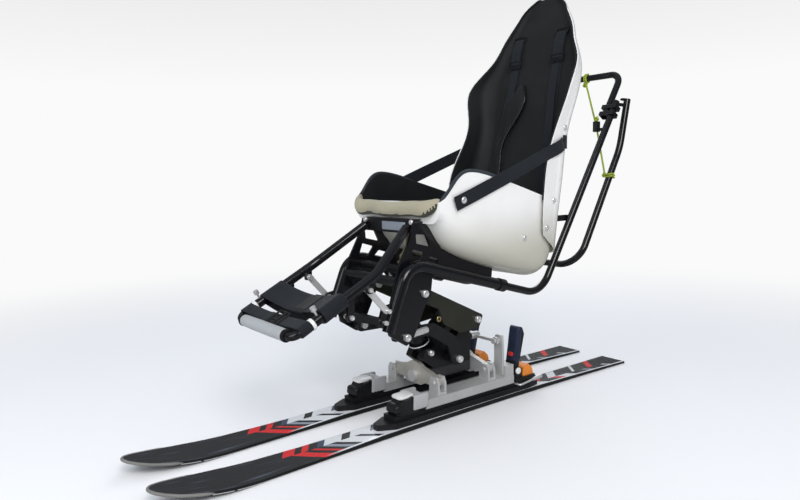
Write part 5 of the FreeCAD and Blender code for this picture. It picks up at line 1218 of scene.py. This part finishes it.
def make_leg_strap(name, node, body, radius, droop, near, far, thick, overlap):
    """Closes the flat path in space; its end climbs one thickness to lie over its start."""
    flat = strap_ring(radius, droop, overlap)
    walk = lengths(flat)
    climb = (thick + 0.4) * np.clip((walk - walk[-1] * 0.72) / (walk[-1] * 0.08), 0, 1)
    normal = unit(np.column_stack([-np.gradient(flat[:, 1]), np.gradient(flat[:, 0])]))
    flat = flat - normal * (climb + thick / 2)[:, None]
    middle = FOOT_BAR - LEG_RUN * (near + far) / 2
    path = middle + flat[:, :1] * X_AXIS + flat[:, 1:] * LEG_UP
    return strap(name, path * MM, LEG_RUN, (near - far) * MM, thick * MM, node=node, body=body)


calf = make_leg_strap("calf_band", "calf_strap", "seat_frame", CALF_RADIUS, CALF_DROOP, *CALF_SPAN, 3.2,
    (60.0, 15.0))
foot = make_leg_strap("foot_band", "foot_strap", "footrest", 10.5, 6.0, 48.8, 16.5, 2.6, (34.0, -30.0))


print("leg straps faces:", len(calf.data.polygons), len(foot.data.polygons))

# %% [markdown]
# ## Patch of loop tape
# The calf strap closes with a square of loop tape on its top. It could be a change of material on
# the strap, but the real one is a thin layer of its own with an edge that catches light.

# %% Patch of loop tape


def make_calf_patch():
    """A square of loop tape on the top of the calf strap, where its end lies over its start."""
    droop = math.radians(CALF_DROOP)
    reach = LEG_X - CALF_RADIUS * math.sin(droop)
    x = np.linspace(12, 66, 20)
    height = CALF_RADIUS * math.cos(droop) - reach * math.tan(droop / 2) * (1 - (x / reach) ** 2) + 7.6
    path = FOOT_BAR - LEG_RUN * sum(CALF_SPAN) / 2 + x[:, None] * X_AXIS + height[:, None] * LEG_UP
    patch = ribbon("calf_patch", path * MM, LEG_RUN, 58 * MM, 1.6 * MM, "velcro", "seat_frame")


make_calf_patch()
print("loop tape laid")

# %% [markdown]
# ## Foot roll
# A foam sleeve sits on the foot bar between two black caps. A cylinder would look like pipe, so the
# profile swells a little and turns in at its ends.

# %% Foot roll


def make_foot_roll():
    """A crowned foam sleeve on the foot bar with a black cap at each end."""
    crown = [(x, 15 + 0.5 * math.cos(x / 70)) for x in np.linspace(-96, 96, 17)]
    profile = [(-108, 10.4), (-108, 13), (-106.5, 14.3), (-103, 15), *crown]
    profile += [(103, 15), (106.5, 14.3), (108, 13), (108, 10.4), (0, 10.4), (-108, 10.4)]
    sleeve = lathe_grid(np.array(profile) * MM, FOOT_BAR * MM, (1, 0, 0), 36)
    roll = skin("foot_sleeve", sleeve, "roll", "footrest", caps=False)
    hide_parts("foot_roll")
    cap = np.array([(0, 10.2), (0, 14.6), (1.5, 15.6), (6, 15.6), (8, 14.4), (8.5, 10.2), (0, 10.2)]) * MM
    ends = [lathe_grid(cap, (FOOT_BAR + np.array([x, 0, 0])) * MM, (np.sign(x), 0, 0), 32)
        for x in (-107.5, 107.5)]
    skin("foot_roll_caps", ends, "rubber", "footrest", caps=False)


make_foot_roll()
print("foot roll made")

# %% [markdown]
# ## Foot buckle
# The foot strap is drawn tight through a ladder buckle, and a keeper holds its end. Both are bent
# rods, so the helper of the shoulder slides makes them with other sizes.

# %% Foot buckle


def make_foot_buckle():
    """Ladder buckle on the foot strap with a keeper of bent rods behind it."""
    middle = FOOT_BAR - LEG_RUN * 34
    for label, x, wide, high, bars in (("ladder", 14.0, 30, 46, 4), ("keeper", 42.0, 18, 44, 2)):
        flat = 10.4 - 8.0 * (1 - (x / LEG_X) ** 2) + 7.2
        here = (middle + x * X_AXIS + LEG_UP * flat) * MM
        slide_bars(f"foot_{label}", here, LEG_RUN, wide * MM, high * MM, "footrest", "cleat", bars, 2.6)


make_foot_buckle()

# %% [markdown]
# ## Rope
# The rope is three strands laid together. One tube with a wavy section that turns as it goes gives the
# same look as three separate tubes, and stays one closed skin.

# %% Rope
# From the handle over the cleat to the loop's leg, in millimetres
ROPE = np.array([(-31.0, 800.0, 989.4), (95.0, 690.0, 822.0), (121.0, 706.0, 655.0)])


def laid_rope(path, radius, sides=16, pitch=9 * MM):
    """Rings whose radius follows a three-fold wave that turns once every pitch."""
    walk = lengths(path)
    turn = np.linspace(0, 2 * np.pi, sides, endpoint=False)
    wave = 1 - 0.13 * (0.5 - 0.5 * np.cos(3 * turn[None] - 2 * np.pi * walk[:, None] / pitch))
    grid = tube_grid(path, 1.0, sides, (0.3, 0.8, 0.1))
    centre = path[:, None]
    return centre + (grid - centre) * (radius * wave)[..., None]


print("laid rope helper ready")

# %% [markdown]
# ## Knots and the held rope
# The rope is tied at the bar, at the cleat and at the loop's leg. A knot could be a lump, but a
# trefoil of the same rope shows its turns. Two wraps hold each end.

# %% Knots and the held rope


def knot(centre, size, turn=0.0):
    """Trefoil of rope: two turns round while it weaves up and down three times."""
    t = np.linspace(0, 2 * np.pi, 121)
    ring = 2 + np.cos(3 * t)
    points = np.column_stack([ring * np.cos(2 * t + turn), np.sin(3 * t) * 1.25, ring * np.sin(2 * t + turn)])
    return np.asarray(centre) + points * size


def make_rope():
    """The held rope with its knots at the bar, at the cleat and at the loop's leg."""
    path = rounded_path(ROPE * MM, [0, 60 * MM, 0], 1.2 * MM)
    rope = skin("rope_line", laid_rope(path, 3.2 * MM), "rope", "seat_frame")
    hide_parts("rope")
    turn = np.linspace(0, 4 * np.pi, 90)
    bar = np.column_stack([-36 + 1.15 * turn, 803 + 14 * np.sin(turn), 1003 + 14 * np.cos(turn)]) * MM
    leg = np.array([135.0, 712.0, 655.0])
    wraps = np.column_stack([leg[0] + 14 * np.cos(turn), leg[1] + 14 * np.sin(turn), 652 + 1.15 * turn]) * MM
    skin("rope_wraps", [laid_rope(bar, 3 * MM), laid_rope(wraps, 3 * MM)], "rope", "seat_frame")
    knots = [
        knot((-0.031, 0.797, 0.981), 2.5 * MM), knot((0.095, 0.690, 0.848), 2.2 * MM, 1.0),
        knot((0.119, 0.704, 0.662), 2.2 * MM, 2.0)]
    skin("rope_knots", [laid_rope(k[:-1], 2.6 * MM) for k in knots], "rope", "seat_frame")


make_rope()

# %% [markdown]
# ## Outline of the skis
# Each ski wears a thin printed sheet. Its outline could be cut from a plane with a boolean, but reading
# the half width and the height from a table keeps every row on the ski, even where the tip curls up.

# %% Outline of the skis
# Columns: y, half width, height of the top, height of the base, in millimetres
SKI_ROWS = np.array([
    (-813, 6, 39.0, 33.8), (-810, 12, 38.1, 33.0), (-804, 20, 36.4, 31.2), (-799, 24, 35.1, 30.0),
    (-789, 30.6, 32.5, 27.7), (-777, 36.4, 29.9, 24.9), (-765, 41.4, 27.0, 22.2), (-750, 46, 24.2, 19.0),
    (-731, 50.4, 21.0, 15.5), (-712, 53.6, 18.1, 12.3), (-694, 55.9, 15.8, 9.5), (-671, 57.5, 13.4, 6.8),
    (-655, 57.6, 12.1, 5.0), (-627, 56.8, 10.2, 2.4), (-590, 54.9, 8.6, 0.5), (-557, 53.3, 8.0, 0.0),
    (-431, 47.7, 8.6, 0.0), (-335, 44.2, 11.2, 0.0), (-240, 41.3, 14.0, 0.0), (-118, 38.4, 14.0, 0.0),
    (5, 36.4, 14.0, 0.0), (127, 35.4, 14.0, 0.0), (261, 35.3, 14.0, 0.0), (372, 36.2, 14.0, 0.0),
    (398, 36.5, 13.7, 0.0), (532, 38.7, 12.0, 0.0), (671, 42.3, 10.2, 0.0), (808, 47.0, 8.0, 0.0)])
SKI_X = 95.0


def ski_at(y):
    """The table read at any places along the ski."""
    return np.column_stack([np.interp(y, SKI_ROWS[:, 0], SKI_ROWS[:, i]) for i in range(1, 4)]).T


print("ski length:", SKI_ROWS[-1, 0] - SKI_ROWS[0, 0], "mm")

# %% [markdown]
# ## Print of the skis
# The print is a layout of slanted bars, one code for each half, with streaks in front and a pale
# outline. An image would carry it too, but nodes on the UV in metres stay sharp at any distance and
# need no file.

# %% Print of the skis
# Length of the sheet and width of its middle row on the UV, in metres
SHEET_LONG, SHEET_WIDE = 1.63, 0.0706
INKS = {
    "k": (0.01, 0.01, 0.012), "w": (0.8, 0.82, 0.85), "r": (0.75, 0.012, 0.015), "b": (0.05, 0.07, 0.12),
    "s": (0.32, 0.35, 0.42)}
# Slant of each half's bars, and where each ink starts, in millimetres from the tip
BAR_CODES = (
    (0.9, "0k 26k 300r 333k 352r 372k 396b 418w 470k 492w 560b 575w 1180r 1225k 1262w 1300k 1385w 1400k "
          "1470r 1490k"),
    (-1.3, "0k 30k 255k 345r 378k 396r 410k 428s 446k 470w 520k 535w 1165w 1190k 1250r 1275w 1330k 1400s "
           "1415k 1500w 1512k"))


def make_print_group():
    """Colour of the print: two slanted bar codes, one per half, streaks in front and a pale outline."""
    g = Group("ski_print", [("Vector", "Vector", None)], [("Color", "Color")])
    split = g.wire("SeparateXYZ", i0=g.take("Vector"))
    side = g.wire("MapRange", {"clamp": False}, Value=split.outputs[1], From_Min=0.0, From_Max=SHEET_WIDE,
        To_Min=-1.0, To_Max=1.0)
    bars = []
    for slant, code in BAR_CODES:
        along = g.maths("MULTIPLY_ADD", side.outputs[0], slant * 0.034, split.outputs[0])
        share = g.maths("DIVIDE", along.outputs[0], SHEET_LONG)
        ramp = g.wire("ValToRGB", i0=share.outputs[0])
        ramp.color_ramp.interpolation = "CONSTANT"
        marks = code.split()
        for k, mark in enumerate(marks):
            stop = ramp.color_ramp.elements[k] if k < 2 else ramp.color_ramp.elements.new(0.99)
            stop.position = int(mark[:-1]) * MM / SHEET_LONG
            stop.color = (*INKS[mark[-1]], 1.0)
        bars.append(ramp.outputs[0])
    bend = g.wire("MapRange", {"clamp": False}, Value=split.outputs[0], From_Min=0.2, From_Max=1.5,
        To_Min=-0.35, To_Max=0.45)
    half = g.maths("GREATER_THAN", side.outputs[0], bend.outputs[0])
    base = g.blend(half.outputs[0], bars[0], bars[1])
    long = g.wire("Mapping", Vector=g.take("Vector"), Scale=(5.0, 90.0, 1.0), Rotation=(0.0, 0.0, 0.09))
    noise = g.wire("TexNoise", Vector=long.outputs[0], Scale=1.0, Detail=3.0)
    streak = g.wire("MapRange", Value=noise.outputs[0], From_Min=0.56, From_Max=0.66)
    front = g.wire("MapRange", Value=split.outputs[0], From_Min=0.24, From_Max=0.33, To_Min=1.0, To_Max=0.0)
    inked = g.maths("MULTIPLY", streak.outputs[0], front.outputs[0])
    faint = g.maths("MULTIPLY", inked.outputs[0], 0.55)
    lined = g.blend(faint.outputs[0], base.outputs[2], (0.12, 0.15, 0.21, 1.0))
    flick = g.wire("MapRange", Value=noise.outputs[0], From_Min=0.30, From_Max=0.27)
    tip = g.wire("MapRange", Value=split.outputs[0], From_Min=0.17, From_Max=0.13, To_Min=0.0, To_Max=0.8)
    drops = g.maths("MULTIPLY", flick.outputs[0], tip.outputs[0])
    warm = g.blend(drops.outputs[0], lined.outputs[2], (0.5, 0.01, 0.012, 1.0))
    off = g.maths("ABSOLUTE", side.outputs[0])
    rim = g.wire("MapRange", Value=off.outputs[0], From_Min=0.93, From_Max=0.95)
    behind = g.wire("MapRange", Value=split.outputs[0], From_Min=0.40, From_Max=0.46)
    line = g.maths("MULTIPLY", rim.outputs[0], behind.outputs[0])
    edged = g.blend(line.outputs[0], warm.outputs[2], (0.8, 0.82, 0.85, 1.0))
    g.out(Color=edged.outputs[2])
    return g.tree


def make_print_finish():
    """The print under clear gloss; only its colour comes from the group."""
    material = finish("ski_print", (0.5, 0.5, 0.5), 0.2, coat=0.5, bump=0.01)
    tree = material.node_tree
    picture = wire(tree, "Group", {"node_tree": make_print_group()}, Vector=wire(tree, "UVMap").outputs[0])
    tree.links.new(picture.outputs[0], tree.nodes["Principled BSDF"].inputs["Base Color"])
    FINISHES["ski_print"] = material


make_print_finish()
print("print inks:", len(INKS))

# %% [markdown]
# ## Sheet, guard and edges
# On top lies the printed sheet, round the tip a guard, and along the base a steel edge on both
# sides. All read the same table, so they follow the ski's own outline.

# %% Sheet, guard and edges


def make_ski_trim(side, sign):
    """Printed sheet, a guard round the tip and a steel edge along both sides of the base."""
    body = f"{side}_ski"
    y = np.unique(np.concatenate([-813 + steps(1621, 12, 12), SKI_ROWS[:, 0]]))
    half, top, _ = ski_at(y)
    share = np.linspace(-1, 1, 13)
    centre = np.full(len(y), sign * SKI_X)
    across = centre[:, None] + share * (half - 0.7)[:, None]
    grid = np.stack([across, *np.broadcast_arrays(y[:, None], (top + 0.3)[:, None] + 0 * share)], -1)
    ends = np.r_[0, np.ones(len(y) - 2), 0][:, None]
    thick = np.broadcast_to(0.28 * np.sqrt(1 - np.abs(share) ** 12), grid.shape[:2]) * ends
    pad(f"{side}_ski_print", grid * MM, thick * MM, "ski_print", body)
    tip = SKI_ROWS[:11]
    rim = np.vstack([tip[::-1] * [1, -1, 1, 1], tip])
    path = smooth_path(np.column_stack([sign * SKI_X + rim[:, 1], rim[:, 0] - 0.6, rim[:, 2] - 2.2]), 90)
    taper = np.sqrt(np.clip(np.minimum(np.linspace(0, 14, 90), np.linspace(14, 0, 90)), 0.02, 1))
    skin(f"{side}_tip_guard", tube_grid(path * MM, 3.6 * MM * taper, 14), "guard", body)
    grids = []
    for edge in (-1, 1):
        place = np.linspace(-700, 806, 150)
        half, _, base = ski_at(place)
        corners = [(-1.6, 0.15), (0.45, 0.15), (0.45, 2.1), (-1.6, 2.1)]
        lines = [np.column_stack([sign * SKI_X + edge * (half + a), place, base + b]) for a, b in corners]
        grids.append(np.stack(lines, 1) * MM)
    skin(f"{side}_steel_edges", grids, "bright", body)


for side, sign in SIDES.items():
    make_ski_trim(side, sign)
print("ski tops made")

# %% [markdown]
# ## Small mouldings
# Caps, jaws and catches are soft-cornered blocks. A cube with a bevel would show its modifier edges
# when scaled, so each block is a stack of rounded squares that shrink towards both ends.

# %% Small mouldings


def block(name, low, high, radius, finish_name, body, lean=0.0):
    """Rounded box between two corners in millimetres: rings |a|^5 + |b|^5 = 1 that shrink like a dome at
    both ends of z. Lean moves the rings along y by lean times their height over the foot."""
    low, high = np.asarray(low, float), np.asarray(high, float)
    z = low[2] + steps(high[2] - low[2], radius, 8)
    near = np.clip(np.minimum(z - low[2], high[2] - z) / radius, 0, 1)
    inset = radius * (1 - np.sqrt(1 - (1 - near) ** 2)) * 0.999
    turn = np.linspace(0, 2 * np.pi, 36, endpoint=False)
    a, b = np.cos(turn), np.sin(turn)
    norm = (np.abs(a) ** 5 + np.abs(b) ** 5) ** -0.2
    middle, half = (low + high) / 2, (high - low) / 2
    x = middle[0] + (half[0] - inset)[:, None] * a * norm
    y = middle[1] + (half[1] - inset)[:, None] * b * norm + lean * (z - low[2])[:, None]
    grid = np.stack([x, y, np.broadcast_to(z[:, None], x.shape)], -1)
    return skin(name, grid * MM, finish_name, body)


print("block helper ready")

# %% [markdown]
# ## Bindings
# White and grey mouldings, a bumper and jaws make up a toe, and the heel's lever has a rubber pad
# with a red catch. They could be one lump, but each is a piece of its own colour on the real
# binding.

# %% Bindings


def make_binding_trim(side, sign):
    """White and grey mouldings of one binding."""
    body, x = f"{side}_ski", sign * SKI_X
    block(f"{side}_toe_cap", (x - 21, -174, 82), (x + 21, -120, 92), 5.0, "white", body)
    block(f"{side}_toe_bumper", (x - 24, -190, 47), (x + 24, -168, 72), 7.0, "binding", body, lean=0.15)
    for hand in (-1, 1):
        label, middle = "outer" if hand == sign else "inner", x + hand * 27
        block(f"{side}_jaw_{label}", (middle - 6.5, -136, 50), (middle + 6.5, -84, 91), 5.0, "jaw", body,
            lean=0.05)
    block(f"{side}_jaw_bridge", (x - 29, -118, 62), (x + 29, -98, 91), 5.0, "jaw", body)
    profile = np.array([(0, 0.05), (0, 10.0), (3.0, 10.0), (4.6, 8.4), (5.0, 0.05)])
    caps = [
        lathe_grid(profile * MM, np.array([x + hand * 26.5, 277.0, 76.0]) * MM, (hand, 0, 0), 30)
        for hand in (-1, 1)]
    skin(f"{side}_heel_caps", caps, "white", body)


def make_lever_pad(side, sign):
    """Long rubber pad over the lever, and a red catch on its front."""
    body, x = f"{side}_heel_lever", sign * SKI_X
    path = np.array([(x, 282.5, 96), (x, 288.5, 140), (x, 293.5, 176), (x, 299.0, 207)])
    ribbon(f"{side}_lever_pad", smooth_path(path, 40) * MM, (1.0, 0, 0), 43 * MM, 22 * MM, "navy", body,
        edge=8 * MM)
    block(f"{side}_lever_catch", (x - 9, 268, 117), (x + 9, 284, 130), 4.0, "red", body, lean=0.12)


for side, sign in SIDES.items():
    make_binding_trim(side, sign)
    make_lever_pad(side, sign)
print("bindings trimmed")

# %% [markdown]
# ## Screw heads
# Machine screws show a rounded head with a socket. One profile turned about the screw's axis makes any
# of them, so a table of places and radii does for the whole frame.

# %% Screw heads
# Columns: distance of the head's seat from the middle, y, z, radius, in millimetres
SCREWS = {
    "seat_frame": [(125.5, -88, 359, 10), (125.5, -150, 250, 10), (25.1, -95, 400, 8)],
    "footrest": [(154.6, -285, 396, 6), (154.6, -230, 336, 6), (154.6, -341, 336, 6), (154.6, -240, 308, 6)],
    "linkage": [(103.1, 130, 254, 10), (91.1, 68, 145, 10), (45.1, 0, 165, 8.3)],
    "shell": [(204.0, 338, 592, 7), (205.3, 306, 514, 7), (195.2, 222, 490, 7), (188.5, 406, 804, 7),
        (200.5, -19, 605, 9)],
}
RIDES = {"seat_frame": "seat_frame", "footrest": "seat_frame", "linkage": "column", "shell": "seat_frame"}
print("screws on each side:", {k: len(v) for k, v in SCREWS.items()})

# %% [markdown]
# ## Turning the heads
# A head stands on its seat, rises to a dome and has a socket half its height deep. Cylinders would
# do from far off, but the socket is what makes a screw read as one.

# %% Turning the heads


def socket_head(place, axis, radius, high):
    """Domed head with a socket that goes down half its height."""
    profile = [
        (-0.6, 0.02), (-0.6, radius), (high * 0.45, radius), (high * 0.85, radius * 0.86),
        (high, radius * 0.66), (high, radius * 0.46), (high * 0.45, radius * 0.42), (high * 0.45, 0.02)]
    return lathe_grid(np.array(profile) * MM, np.asarray(place, float) * MM, axis, 24)


for group_name, rows in SCREWS.items():
    heads = [
        socket_head((sign * x, y, z), (sign, 0, 0), radius, 3.4 if radius < 9 else 4.4)
        for x, y, z, radius in rows for sign in (-1, 1)]
    skin(f"{group_name}_screws", heads, "bright", RIDES[group_name])
crossbar_heads = [socket_head((x, -116.3, 549), (0, -1, 0), 7.5, 4.2) for x in (-104, 104)]
skin("crossbar_screws", crossbar_heads, "bright", "seat_frame")

# %% [markdown]
# ## Rings, plates and plugs
# The last small parts catch the light in the picture: a plate without any print on the crossbar, a
# brass bush, a knurled roller, end rings on the tubes and plugs in their open ends.

# %% Rings, plates and plugs


def ring_grid(start, axis, inner, outer, wide):
    """A collar: a square section turned round an axis, with its corners broken."""
    c = min(0.8, wide / 4)
    profile = [(0, inner), (0, outer - c), (c, outer), (wide - c, outer), (wide, outer - c), (wide, inner),
        (0, inner)]
    return lathe_grid(np.array(profile) * MM, np.asarray(start, float) * MM, axis, 36)


def make_small_parts():
    """Plate, bush, roller, collars and plugs, each on the body that carries it."""
    block("crossbar_plate", (-28, -115.2, 524.5), (74, -112.4, 547.5), 1.2, "plate_blue", "seat_frame")
    skin("link_bush", ring_grid((96.2, -18, 276), (1, 0, 0), 3.6, 8.2, 2.6), "brass", "upper_link",
        caps=False)
    u = np.linspace(0, 1, 34)
    path = np.array([100, -138, 247.2]) + u[:, None] * np.array([0, 76, 7.6])
    radius = 9.0 + 0.5 * (np.arange(34) % 2) - 3.0 * (np.minimum(u, 1 - u) < 0.02)
    skin("link_roller", tube_grid(path * MM, radius * MM, 24), "bright", "lower_link")
    axis = unit(np.array([0.0, -95.0, 235.0]))
    skin("shock_rim", ring_grid(np.array([0, 0, 165]) + axis * 25, axis, 26, 30.8, 4), "white", "shock_body",
        caps=False)
    plug = [(-1, 0.02), (-1, 11.4), (1.6, 11.4), (3.2, 9.6), (3.8, 0.02)]
    ends = [lathe_grid(np.array(plug) * MM, np.array([sign * 121.0, 803.0, 914.0]) * MM, (0, 0.2, 1), 26)
        for sign in (-1, 1)]
    leg_end = FOOT_BAR - LEG_RUN * 49.2
    rings = [ring_grid(leg_end + np.array([sign * LEG_X, 0, 0]), -LEG_RUN, 12.9, 14.8, 9) for sign in (-1, 1)]
    skin("leg_end_rings", rings, "white", "seat_frame", caps=False)
    skin("loop_plugs", ends, "rubber", "seat_frame")


make_small_parts()
